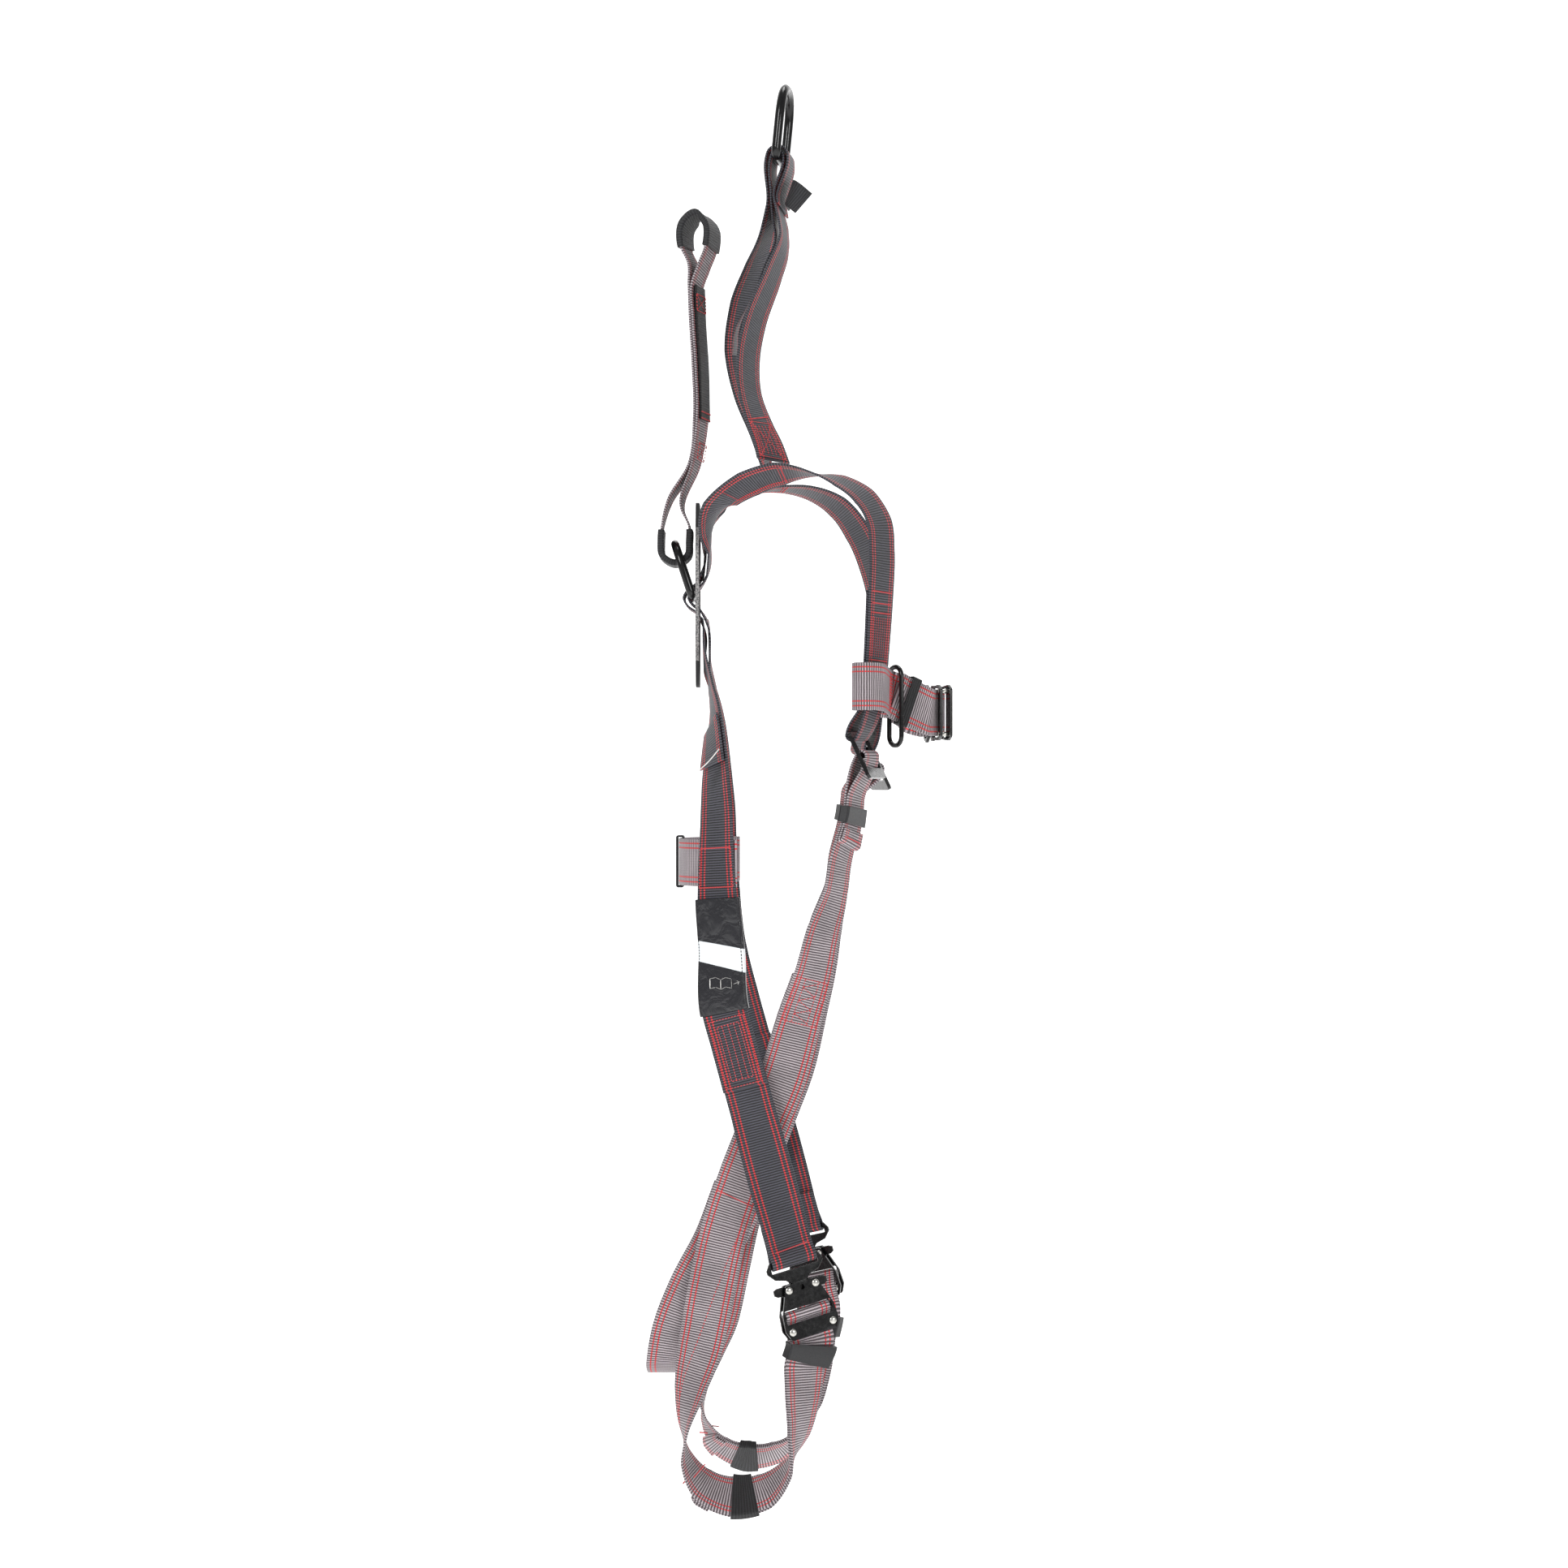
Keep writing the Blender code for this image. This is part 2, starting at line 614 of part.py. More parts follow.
THIGH = [(66, -89, -680, 22), (64, -90, -700, 22), (60, -91, -719, 25), (54, -94, -742, 28),
         (49, -96, -773, 30), (37, -97, -811, 46), (28, -97, -850, 54), (15, -96, -892, 68),
         (-3, -93, -953, 84), (-23, -91, -1000, 90), (-41, -90, -1046, 90), (-57, -91, -1096, 90),
         (-69, -93, -1149, 94), (-80, -96, -1203, 110), (-91, -99, -1243, 140), (-97, -102, -1283, 172),
         (-94, -102, -1309, 192), (-79, -101, -1332, 212), (-50, -101, -1344, 222),
         (-18, -101, -1339, 215), (4, -102, -1318, 190), (15, -103, -1286, 155),
         (19, -103, -1250, 135), (20, -102, -1222, 125)]
SEAT = [(-45, -82, -1054), (-64, -81, -1104), (-88, -80, -1150), (-103, -78, -1189), (-109, -66, -1222),
        (-109, -38, -1235), (-109, 0, -1237)]


def lap_pairs(side, out_share, *distances):
    """Pairs along the line up from a leg buckle, moved out of the webbing by a share of the gap."""
    frame = leg_buckle_frame(side)
    up = frame.to_3x3() @ Vector((0, 1, 0))
    width = width_direction(up, -LAP_TURN * side)
    out = up.cross(width)
    return [(frame.translation + up * d * LENGTH_RATIO + out * LAP_GAP * out_share, width)
            for d in distances]


def plate_pass(side):
    """A shoulder strap up past the dorsal plate: out round the ring's bar and back, crossing over."""
    places = [(13.5, -22, -56), (13.5, -9, -40), (12, 0, -25), (5.5, 0, -12.6), (-2.8, 0, -6.4),
              (-6.3, 0, 0), (-2.8, 0, 6.4), (5.5, 0, 12.6), (12, 0, 25), (13.5, 9, 40), (14.5, 20, 55)]
    points = [DORSAL_BAR + Vector((x, y * side, z)) for x, y, z in places]
    pairs = [(p, width_direction(t, 0)) for p, t in zip(points, tangents(points))]
    return beside(pairs, PLATE_LAYER / 2 * side)


def shoulder_strap(side):
    """From the hip up through the plate, over the shoulder, round the adjuster and back up."""
    hip = mirrored(HIP) if side < 0 else HIP
    stations = lap_pairs(-side, 1, LAP_LOW, LAP_HIGH, LAP_TOP) + hip + plate_pass(side)
    stations += SHOULDER_RIGHT if side < 0 else SHOULDER_LEFT
    main = smooth(resolve(stations))
    frame = adjuster_frame(side)
    radius = math.hypot(ADJUSTER_BAR, ADJUSTER_THICK) / 2 + CLEAR + WEB_THICK / 2
    loop = round_bar(frame, (20, 0), radius, 138, 318)
    front = main[len(main) * 2 // 3:]
    tail = beside(between(front, -487, -599), -LAYER)
    return smooth(main + loop + list(reversed(tail)))


def thigh_stations(side):
    """Stations of the grey webbing from the front keeper to below the leg buckle."""
    return THIGH if side < 0 else mirrored(THIGH, 13)


def thigh_route(side):
    """Middle line of the front strap and, below it, of the leg strap, from top to bottom."""
    return smooth(resolve(thigh_stations(side)))


def front_strap(side):
    """Up from the thigh, over the adjuster's middle bar, down to a folded end below the keeper."""
    down = between(thigh_route(side), -670, -1090)
    frame = adjuster_frame(side)
    radius = math.hypot(ADJUSTER_BAR, ADJUSTER_THICK) / 2 + CLEAR + WEB_THICK / 2
    over = round_bar(frame, (-2, 0), radius, -50, 130)
    tail = beside(between(down, -684, -730), LAYER)
    fold = beside(between(down, -712, -726), 2 * LAYER + 0.6)
    return smooth(list(reversed(down)) + over + tail + list(reversed(fold)))


def leg_strap(side):
    """From under the front strap round the thigh to the buckle, over its bar, and back to a fold."""
    route = thigh_route(side)
    start = next(i for i, pair in enumerate(route) if pair[0].z < -851 * LENGTH_RATIO)
    under = beside(route[start:], -LAYER - 0.2)
    frame = leg_buckle_frame(side)
    back = -BACK_LAYER - LAYER - 0.8
    main = smooth(under + on_frame(frame, (-34, back), (-27, back), (-19, back)))
    last = squared(main)[-1]
    facing = frame.to_3x3() @ Vector((0, 0, 1))
    outer = LAYER if last[2].dot(facing) > 0 else -LAYER
    low = [i for i, pair in enumerate(main) if pair[0].z < -1300 * LENGTH_RATIO]
    turn_back = next(i for i in low if pair_x(main[i]) > -78 and pair_z(main[i]) < -1320)
    second = beside(main, outer)[turn_back:-4]
    end = main[turn_back][0] + (main[turn_back + 1][0] - main[turn_back][0]).normalized() * 9
    third = beside(section(main, end, 12, 2), 2 * outer + math.copysign(0.6, outer))
    roll = buckle_roll(frame) + on_frame(frame, (-19, -BACK_LAYER), (-27, -BACK_LAYER - 0.4), (-34, -BACK_LAYER - 0.8))
    return smooth(main + roll + list(reversed(second)) + third), main, outer


def pair_x(pair):
    """Nominal X of a pair."""
    return pair[0].x / LENGTH_RATIO


def pair_z(pair):
    """Nominal Z of a pair."""
    return pair[0].z / LENGTH_RATIO


def hip_strap(side):
    """The strap end that carries the tongue: along the line up from the buckle, round its bar."""
    frame = leg_buckle_frame(side)
    lap = lap_pairs(side, 0, HIP_STRAP_END, LAP_LOW, HIP_STRAP_BEND)
    near = on_frame(frame, (72, LAYER / 2), (58, LAYER / 2 + 0.3))
    behind = on_frame(frame, (58, -LAYER / 2 - 0.3), (80, -LAYER / 2))
    return smooth(lap + near + tongue_roll(frame) + behind)


UPRIGHT = Vector((0, 0, 1))


def level(*places):
    """Pairs of a strap whose width stands upright."""
    return [(at(*place), UPRIGHT) for place in places]


def chest_strap_right():
    """Loop round the right shoulder strap, then over the buckle's bar and back to a folded end."""
    frame = chest_buckle_frame()
    loop = level((96, -58.5, -580), (92, -60.5, -580), (85, -62.4, -579), (66, -106, -578),
                 (68.5, -113, -578), (76, -117, -578), (85.6, -112.3, -578), (99.8, -72, -582))
    run = level((103, -59.5, -584), (109, -55.5, -587), (124, -47, -594), (137, -38, -600))
    roll = on_frame(frame, (-19, -BACK_LAYER - LAYER)) + buckle_roll(frame)
    main = smooth(loop + run + on_frame(frame, (-19, -BACK_LAYER - LAYER)))
    back = beside(smooth(level((105, -58, -585), (109, -55.5, -587), (124, -47, -594), (137, -38, -600))),
                  LAYER)
    fold = beside(smooth(level((105, -58, -585), (110, -55, -587.5))), 2 * LAYER + 0.4)
    tail = on_frame(frame, (-19, -BACK_LAYER)) + list(reversed(back)) + fold
    return smooth(main[:-1] + roll + tail), smooth(run)


def chest_strap_left():
    """Loop round the left shoulder strap, then through the tongue's slot and back."""
    frame = chest_buckle_frame()
    loop = level((106, 59.5, -583), (99, 63, -582), (92, 66.5, -581), (79, 110, -581),
                 (80.5, 116.5, -581), (86.5, 120, -581), (95, 116, -581), (105.5, 74, -583))
    run = level((110.5, 64.5, -585), (120, 60, -592), (131, 52, -599))
    behind = on_frame(frame, (54, -LAYER / 2 - 0.6)) + level((128.5, 49.5, -599), (118, 56.5, -591))
    return smooth(loop + run + on_frame(frame, (54, LAYER / 2 + 0.6)) + tongue_roll(frame) + behind)


def lifting_layers():
    """Right strap up, over the ring's bar and down as the middle layer; left strap outside it."""
    frame = lift_ring_frame()
    inner = RING_RADIUS + CLEAR + WEB_THICK / 2
    right = [(-10, -70, -362, -40), (-15, -64, -345, -36), (-24, -58, -323, -32), (-33, -50, -292, -28),
             (-34, -42, -259, -28), (-27, -34, -223, -26), (-9, -24, -175, -20), (0, -16, -146, -12),
             (-2, -8, -122, -12), (-5.8, -2, -104, -12)]
    middle = [(-8.3, 0, -104, 12), (-8, 1, -122, 8), (-7, 1, -144, 4), (-18, 1, -167, 0),
              (-33, 1, -202, -4), (-45, 3, -229, -8), (-47, 6, -252, -10)]
    left = [(-16, 74, -358, -14), (-27, 68, -320, -20), (-40, 59, -281, -28), (-45, 53, -242, -36),
            (-38, 48, -196, -38), (-24, 34, -155, -28), (-14.5, 9, -123, -14), (-11.8, 2, -104, -12)]
    tail = [(-2.4, 0, -104, 12), (-1.5, -2, -112, 12)]
    over_right = round_bar(frame, (0, 0), inner, 90, -90)
    over_left = round_bar(frame, (0, 0), inner + PLATE_LAYER, -90, 90)
    return smooth(resolve(right + over_right + middle)), smooth(resolve(left + over_left + tail))


# --- the harness, from the top down ------------------------------------------------------------------

def lifting_assembly():
    """Ring, the two lifting straps that loop over its bar, and the tab that keeps them together."""
    ring("lifting_ring", d_outline(RING_HALF_WIDTH, LIFT_RING_HEIGHT), RING_RADIUS, lift_ring_frame())
    right, left = lifting_layers()
    webbing("lifting_strap_right", right, "dark_webbing")
    webbing("lifting_strap_left", left, "dark_webbing")
    lean = Vector((-0.32, 0, -0.95))
    tab = [(at(x, y, z), lean) for x, y, z in ((8.4, 16, -98), (6.6, -6, -98), (6.2, -22, -98),
                                               (10, -28, -102), (19, -30, -110))]
    webbing("stow_tab", smooth(tab), "black_webbing", width=25)


def extension_side(height):
    """Width direction of the extension strap, which turns a little above the dorsal ring."""
    turn = EXTENSION_TURN * min(max((height - 20) / 80, 0), 1)
    return Vector((math.sin(turn), math.cos(turn), 0))


def extension_strap():
    """Closed loop of grey webbing: an eye at the top, another round the dorsal ring's bow."""
    bow = dorsal_ring_frame() @ Vector((0, DORSAL_RING_HEIGHT, 0))
    low_eye = [(14, 16), (14, 2), (12.5, -12), (0, -19), (-12, -12), (-13.5, 2), (-12, 18), (-6, 40)]
    spine = [(20, 78), (26, 120), (25, 170), (22, 220), (21, 250)]
    high_eye = [(28, 270), (35, 290), (34, 310), (23, 319), (12, 310), (10, 290), (18, 270)]
    left_side = [(x - 2.6, z) for x, z in reversed(spine)]
    right_side = [(7, 34)] + spine
    places = low_eye[3:] + left_side[::-1] + high_eye[::-1] + right_side[::-1] + low_eye[:3]
    pairs = [(bow + Vector((x, 0, z)), extension_side(z)) for x, z in places]
    route = smooth(pairs, closed=True)
    webbing("extension_strap", route, "grey_webbing", closed=True)
    low = [pair for pair in route if pair[0].z < bow.z + 14]
    high = [pair for pair in route if pair[0].z > bow.z + 287]
    band("extension_sleeve_lower", in_order(low, route), "black_webbing", WEB_THICK, SLEEVE_WALL)
    band("extension_sleeve_upper", in_order(high, route), "black_webbing", WEB_THICK, SLEEVE_WALL)
    patch = [(bow + Vector((x + LAYER + 0.3, 0, z)), extension_side(z)) for x, z in spine[1:]]
    webbing("extension_patch", smooth(patch), "black_webbing", width=36)


def in_order(chosen, route):
    """Pairs picked from a closed route, starting after the gap between them."""
    kept = [any(pair is other for other in chosen) for pair in route]
    start = next(i for i in range(len(route)) if kept[i] and not kept[i - 1])
    turned = route[start:] + route[:start]
    return [pair for pair in turned if any(pair is other for other in chosen)]


def outward(pairs, direction):
    """1 where the route's thickness direction points along a direction, else -1."""
    middle = squared(pairs)[len(pairs) // 2]
    return 1 if middle[2].dot(direction) > 0 else -1


def dorsal_assembly():
    """Plate with the window that the shoulder straps loop through, and the ring they hold."""
    frame = flat_frame(DORSAL_BAR + Vector((BAR_RADIUS + 0.4 + PLATE_THICK / 2, 0, 3)), 0, 0)
    half, high = PLATE_WIDTH / 2, PLATE_HEIGHT / 2
    corners = both_sides([(22, -high), (half - 6, -high * 0.45), (half - 10, 0), (half, high * 0.5),
                          (26, high)])
    window = rectangle(-SLOT_HALF - 3, -3 - WINDOW_HEIGHT / 2, SLOT_HALF + 3, -3 + WINDOW_HEIGHT / 2, 4)
    plate = slab([rounded(corners, 9), window], -PLATE_THICK / 2, PLATE_THICK / 2)
    add_object("dorsal_plate", plate, "grey_plastic", frame)
    ring("dorsal_ring", d_outline(RING_HALF_WIDTH, DORSAL_RING_HEIGHT), DORSAL_ROD, dorsal_ring_frame(),
         BAR_RADIUS)


def adjuster(side, name):
    """Slide adjuster: three bars, the lowest one turned up into a lip."""
    half = SLOT_HALF + 4.5
    top = 20 + ADJUSTER_BAR / 2
    slots = [rectangle(-SLOT_HALF, -2 + ADJUSTER_BAR / 2, SLOT_HALF, 20 - ADJUSTER_BAR / 2, 1.2),
             rectangle(-SLOT_HALF, top - ADJUSTER_LENGTH + 10, SLOT_HALF, -2 - ADJUSTER_BAR / 2, 1.2)]
    rim = rectangle(-half, top - ADJUSTER_LENGTH, half, top, 4)
    add_object(name, slab([rim] + slots, -ADJUSTER_THICK / 2, ADJUSTER_THICK / 2), "black_steel",
               adjuster_frame(side))


def upper_straps(side, name):
    """Shoulder strap, adjuster, front strap and its keeper on one side."""
    shoulder = shoulder_strap(side)
    webbing("shoulder_strap_" + name, shoulder, "dark_webbing")
    adjuster(side, "adjuster_" + name)
    webbing("front_strap_" + name, front_strap(side), "grey_webbing")
    keeper = section(thigh_route(side), at(62, 90 * side, -700),
                     FRONT_KEEPER_LENGTH)
    band("front_keeper_" + name, keeper, "black_plastic", WEB_THICK + LAYER, KEEPER_WALL, LAYER / 2)
    tag = section(shoulder, at(-66, -85 * side, -632), 42, 6)
    webbing("indicator_tag_" + other(name), beside(tag, LAYER + 1), "dark_webbing")
    flag = [(at(x, -114 * side, z), Vector((0, 1, 0))) for x, z in ((-61, -637), (-71, -649), (-82, -659))]
    webbing("warning_flag_" + other(name), smooth(flag), "label_vinyl", width=14, thick=0.8)


def other(name):
    """The opposite side's name: a shoulder strap ends on the other hip."""
    return "left" if name == "right" else "right"


def label_sleeve():
    """Clear-faced sleeve round the right hip's webbing."""
    hip = section(shoulder_strap(1), at(-62, -103, -832), LABEL_LENGTH, 10)
    band("label_sleeve", hip, "label_vinyl", WEB_THICK, SLEEVE_WALL)


def lower_back_strap():
    """From one hip strap round behind to the other, with a keeper in the middle."""
    half = [(-45, -112, -745), (-60, -96, -745), (-76, -80.5, -745), (-91, -60, -745), (-99, -32, -745)]
    places = half + [(-101, 0, -745)] + [(x, -y, z) for x, y, z in reversed(half)]
    route = smooth(level(*places))
    webbing("lower_back_strap", route, "grey_webbing")
    band("back_keeper", section(route, at(-101, 0, -745), BACK_KEEPER_LENGTH), "black_plastic",
         WEB_THICK, KEEPER_WALL)


def leg_loop(side, name):
    """Hip strap with its tongue, buckle, leg strap and the keepers of one side."""
    buckle("leg_buckle_" + name, leg_buckle_frame(side))
    webbing("hip_strap_" + name, hip_strap(side), "dark_webbing")
    route, main, outer = leg_strap(side)
    webbing("leg_strap_" + name, route, "grey_webbing")
    stack, middle = WEB_THICK + LAYER, outer / 2
    below = section(main, at(22, 102 * side, -1207.5), BUCKLE_KEEPER_LENGTH, 6)
    band("buckle_keeper_" + name, below, "black_plastic", stack + 1.8, KEEPER_WALL, middle)
    low = section(main, at(-38, 101 * side, -1344), KEEPER_LENGTH)
    band("thigh_keeper_" + name, low, "black_webbing", stack, SLEEVE_WALL, middle)


def chest_ring_frame(run):
    """Frame of the chest ring, square to the strap it hangs on: Y up, its origin at its top."""
    point, width, out = squared(section(run, at(106, -57.5, -585), 4, 2))[1]
    top = point + UPRIGHT * (HALF_WEB + 2.5 + CHEST_ROD) + out * 1.2
    return frame_at(top, out, UPRIGHT, out.cross(UPRIGHT))


def chest_assembly():
    """Chest strap in two halves, its buckle, accessory ring and elastic keeper."""
    buckle("chest_buckle", chest_buckle_frame())
    right, run = chest_strap_right()
    webbing("chest_strap_right", right, "grey_webbing")
    webbing("chest_strap_left", chest_strap_left(), "grey_webbing")
    frame = chest_ring_frame(run)
    points = rectangle(-CHEST_RING_WIDTH / 2, -CHEST_RING_HEIGHT, CHEST_RING_WIDTH / 2, 0, 9)
    ring("chest_ring", points, CHEST_ROD, frame)
    elastic = section(run, at(118, -50.4, -591), ELASTIC_WIDTH)
    band("chest_elastic", elastic, "black_webbing", WEB_THICK + LAYER + 1.4, SLEEVE_WALL, LAYER / 2 + 0.4)


def seat_strap():
    """Sub-pelvic strap from one hip to the other, hanging behind like the seat of a swing."""
    right = [(x, y, z, 90) for x, y, z in SEAT]
    left = mirrored(list(reversed(right[:-1])), 13)
    pairs = [(at(x, y, z), Vector((1, 0, 0))) for x, y, z, turn in right + left]
    webbing("seat_strap", smooth(pairs), "grey_webbing")


def main():
    """Build every piece in an emptied scene."""
    for obj in list(bpy.data.objects):
        bpy.data.objects.remove(obj)
    lifting_assembly()
    extension_strap()
    dorsal_assembly()
    for side, name in ((-1, "right"), (1, "left")):
        upper_straps(side, name)
        leg_loop(side, name)
    label_sleeve()
    lower_back_strap()
    chest_assembly()
    seat_strap()


main()
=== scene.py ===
# %% [markdown]
# # Full body safety harness
#
# A fall-arrest harness is a net of sewn polyester webbing held together by steel: a ring to hang
# from, slide adjusters on the chest, and a quick-release buckle on each leg and on the chest.
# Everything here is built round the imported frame: the same routes and outlines are walked again
# with finer steps, and each strap gets its weave, its stripes and its stitching.

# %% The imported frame
import json
import math

import bmesh
import bpy
from mathutils import Matrix, Vector, noise

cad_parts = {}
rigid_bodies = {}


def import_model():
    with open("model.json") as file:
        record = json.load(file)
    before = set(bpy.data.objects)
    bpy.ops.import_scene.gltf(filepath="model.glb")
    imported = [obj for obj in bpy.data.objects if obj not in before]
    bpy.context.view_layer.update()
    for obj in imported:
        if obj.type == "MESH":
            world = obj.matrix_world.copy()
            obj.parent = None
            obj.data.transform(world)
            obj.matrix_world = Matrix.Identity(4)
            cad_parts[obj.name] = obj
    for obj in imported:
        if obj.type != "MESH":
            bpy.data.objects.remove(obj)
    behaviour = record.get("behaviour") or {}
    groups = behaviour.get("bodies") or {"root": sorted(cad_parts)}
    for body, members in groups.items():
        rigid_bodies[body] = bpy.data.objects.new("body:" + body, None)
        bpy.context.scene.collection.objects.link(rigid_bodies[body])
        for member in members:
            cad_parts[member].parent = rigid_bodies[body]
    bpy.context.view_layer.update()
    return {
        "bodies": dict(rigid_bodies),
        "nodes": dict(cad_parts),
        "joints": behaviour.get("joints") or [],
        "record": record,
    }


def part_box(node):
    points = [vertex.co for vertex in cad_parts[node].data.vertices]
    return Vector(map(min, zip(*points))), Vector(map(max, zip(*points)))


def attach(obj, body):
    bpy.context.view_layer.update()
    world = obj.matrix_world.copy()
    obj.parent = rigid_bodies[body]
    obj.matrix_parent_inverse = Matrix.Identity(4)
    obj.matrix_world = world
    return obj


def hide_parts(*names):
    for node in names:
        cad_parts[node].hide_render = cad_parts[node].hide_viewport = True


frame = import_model()

# %% [markdown]
# ## Sizes
#
# Webbing of this kind is always 45 mm wide, so every other size is read against it.  The values
# are millimetres, and a mesh is scaled to metres once, when it is made.

# %% Driving sizes, in millimetres
MM = 0.001
HARNESS_HEIGHT = 1365.0      # lifting ring to the bottom of the leg loops, which the routes scale with
HARNESS_WIDTH = 210.0        # right to left across the hanging straps
WEB_WIDTH = 45.0             # every load-bearing strap
WEB_THICK = 2.0
LAYER_GAP = 0.5              # between two layers of webbing that are sewn together
CLEAR = 0.5                  # between webbing and the metal that it passes
BAND_CLEAR = 1.1             # between webbing and a keeper or sleeve round it
PLATE_LAYER = 4.5            # between the middles of the two straps where they cross
STITCH_STEP = 3.0            # longest stretch of a route between two cross sections
BAR_RADIUS = 2.8             # bar of the dorsal ring
BOW_POWER = 0.75             # below 1 squares a ring's bow, which is an ellipse at 1
RING_RADIUS = 4.5            # rod of the lifting ring
RING_HALF_WIDTH = 31.0       # middle of the bar to the middle of a ring's leg
LIFT_RING_HEIGHT = 68.0
DORSAL_RING_HEIGHT = 56.0
DORSAL_ROD = 4.0             # rod of the dorsal ring's bow
CHEST_RING_HEIGHT = 75.0
CHEST_RING_WIDTH = 20.0
CHEST_ROD = 2.3
PLATE_HEIGHT = 178.0         # dorsal plate
PLATE_WIDTH = 90.0
PLATE_THICK = 3.4
WINDOW_HEIGHT = 44.0         # opening in the dorsal plate, where the straps loop over the ring's bar
BUCKLE_PLATE = 2.5           # thickness of a buckle's front and back plate
BUCKLE_THROAT = 7.4          # space between the two plates
BUCKLE_BAR = 2.4             # radius of the bar that the webbing rolls over
BUCKLE_LENGTH = 51.0
BUCKLE_HALF_WIDTH = 27.0
TONGUE_THICK = 3.0
RIVET_RADIUS = 2.2
RIVET_HEAD = 3.6
ADJUSTER_LENGTH = 48.0
ADJUSTER_THICK = 3.4
ADJUSTER_BAR = 6.0
KEEPER_WALL = 1.8
SLEEVE_WALL = 1.0
KEEPER_LENGTH = 22.0         # elastic keepers on the leg straps
BUCKLE_KEEPER_LENGTH = 18.0
FRONT_KEEPER_LENGTH = 16.0
BACK_KEEPER_LENGTH = 30.0
LABEL_LENGTH = 108.0
ELASTIC_WIDTH = 10.0
LENGTH_RATIO = HARNESS_HEIGHT / 1365.0
WIDTH_RATIO = HARNESS_WIDTH / 210.0
LAYER = WEB_THICK + LAYER_GAP
HALF_WEB = WEB_WIDTH / 2
SLOT_HALF = HALF_WEB + 1.2   # a slot that webbing passes through

# %% [markdown]
# ## Routes
#
# A strap is a flat band that bends only the easy way, so its shape is a line of points with a
# width direction at each.  Listed stations are joined by a smooth curve, and a second layer
# is the same curve moved along the band's thickness.

# %% Frames and stations
def frame_at(origin, across, up, facing):
    """Matrix of a piece whose own X, Y and Z point across, up and out of its face."""
    matrix = Matrix((across, up, facing)).transposed().to_4x4()
    matrix.translation = origin
    return matrix


def flat_frame(origin, yaw, lean):
    """Frame of a piece whose width starts along Y: turned about Z by yaw, leaned back by lean."""
    across = Vector((math.sin(yaw), math.cos(yaw), 0))
    forward = Vector((math.cos(yaw), -math.sin(yaw), 0))
    up = forward * math.sin(lean) + Vector((0, 0, math.cos(lean)))
    return frame_at(origin, across, up, across.cross(up))


def at(x, y, z):
    """A point of the nominal harness, moved with the overall sizes."""
    return Vector((x * LENGTH_RATIO, y * WIDTH_RATIO, z * LENGTH_RATIO))


def mirrored(stations, forward=0.0):
    """The same stations on the other side, swung forward towards the bottom."""
    swung = []
    for x, y, z, turn in stations:
        share = min(max((-700 - z) / 300, 0), 1)
        swung.append((x + forward * share, -y, z, -turn))
    return swung


def width_direction(tangent, turn):
    """Direction of the webbing's width for a turn in degrees about the route."""
    side = Vector((0, 1, 0))
    side = (side - tangent * tangent.dot(side)).normalized()
    return side * math.cos(math.radians(turn)) + tangent.cross(side) * math.sin(math.radians(turn))


def tangents(points, closed=False):
    """Unit directions along a list of points."""
    count = len(points)
    found = []
    for i in range(count):
        before = points[(i - 1) % count] if closed or i > 0 else points[i]
        after = points[(i + 1) % count] if closed or i < count - 1 else points[i]
        found.append((after - before).normalized())
    return found


def resolve(stations):
    """Turn stations into pairs of a point and a width direction."""
    points = [at(*s[:3]) if len(s) == 4 else s[0] for s in stations]
    directions = tangents(points)
    pairs = []
    for station, point, tangent in zip(stations, points, directions):
        width = width_direction(tangent, station[3]) if len(station) == 4 else station[1]
        pairs.append((point, width))
    return pairs


# %% Smooth routes
def smooth(pairs, closed=False):
    """Resample pairs along a smooth curve, closer together where the route bends."""
    count = len(pairs)
    points = [p for p, w in pairs]
    slopes = []
    for i in range(count):
        if not closed and i in (0, count - 1):
            near = points[1] - points[0] if i == 0 else points[-1] - points[-2]
            slopes.append(near / near.length)
            continue
        back = points[i] - points[i - 1]
        ahead = points[(i + 1) % count] - points[i]
        d0, d1 = back.length, ahead.length
        slopes.append((back / d0 * d1 + ahead / d1 * d0) / (d0 + d1))
    fine = []
    for i in range(count if closed else count - 1):
        j = (i + 1) % count
        p0, p1 = points[i], points[j]
        w0, w1 = pairs[i][1], pairs[j][1]
        if w0.dot(w1) < 0:
            w1 = -w1
        span = (p1 - p0).length
        bend = math.degrees(slopes[i].angle(slopes[j])) + math.degrees(w0.angle(w1)) * 0.5
        steps = max(1, math.ceil(span / STITCH_STEP - 0.35), math.ceil(bend / 9 - 0.35))
        for k in range(steps):
            t = k / steps
            a = 2 * t ** 3 - 3 * t ** 2 + 1
            b = t ** 3 - 2 * t ** 2 + t
            c = 3 * t ** 2 - 2 * t ** 3
            d = t ** 3 - t ** 2
            point = p0 * a + slopes[i] * span * b + p1 * c + slopes[j] * span * d
            fine.append((point, w0.lerp(w1, t).normalized()))
    if not closed:
        fine.append(pairs[-1])
    return fine


def squared(pairs, closed=False):
    """Triples of point, width and thickness direction, with the widths square to the route."""
    directions = tangents([p for p, w in pairs], closed)
    triples = []
    last = None
    for (point, width), tangent in zip(pairs, directions):
        width = (width - tangent * tangent.dot(width)).normalized()
        if last is not None and last.dot(width) < 0:
            width = -width
        last = width
        triples.append((point, width, tangent.cross(width)))
    return triples


def beside(pairs, distance):
    """The same route moved along the webbing's thickness direction."""
    return [(point + out * distance, width) for point, width, out in squared(pairs)]


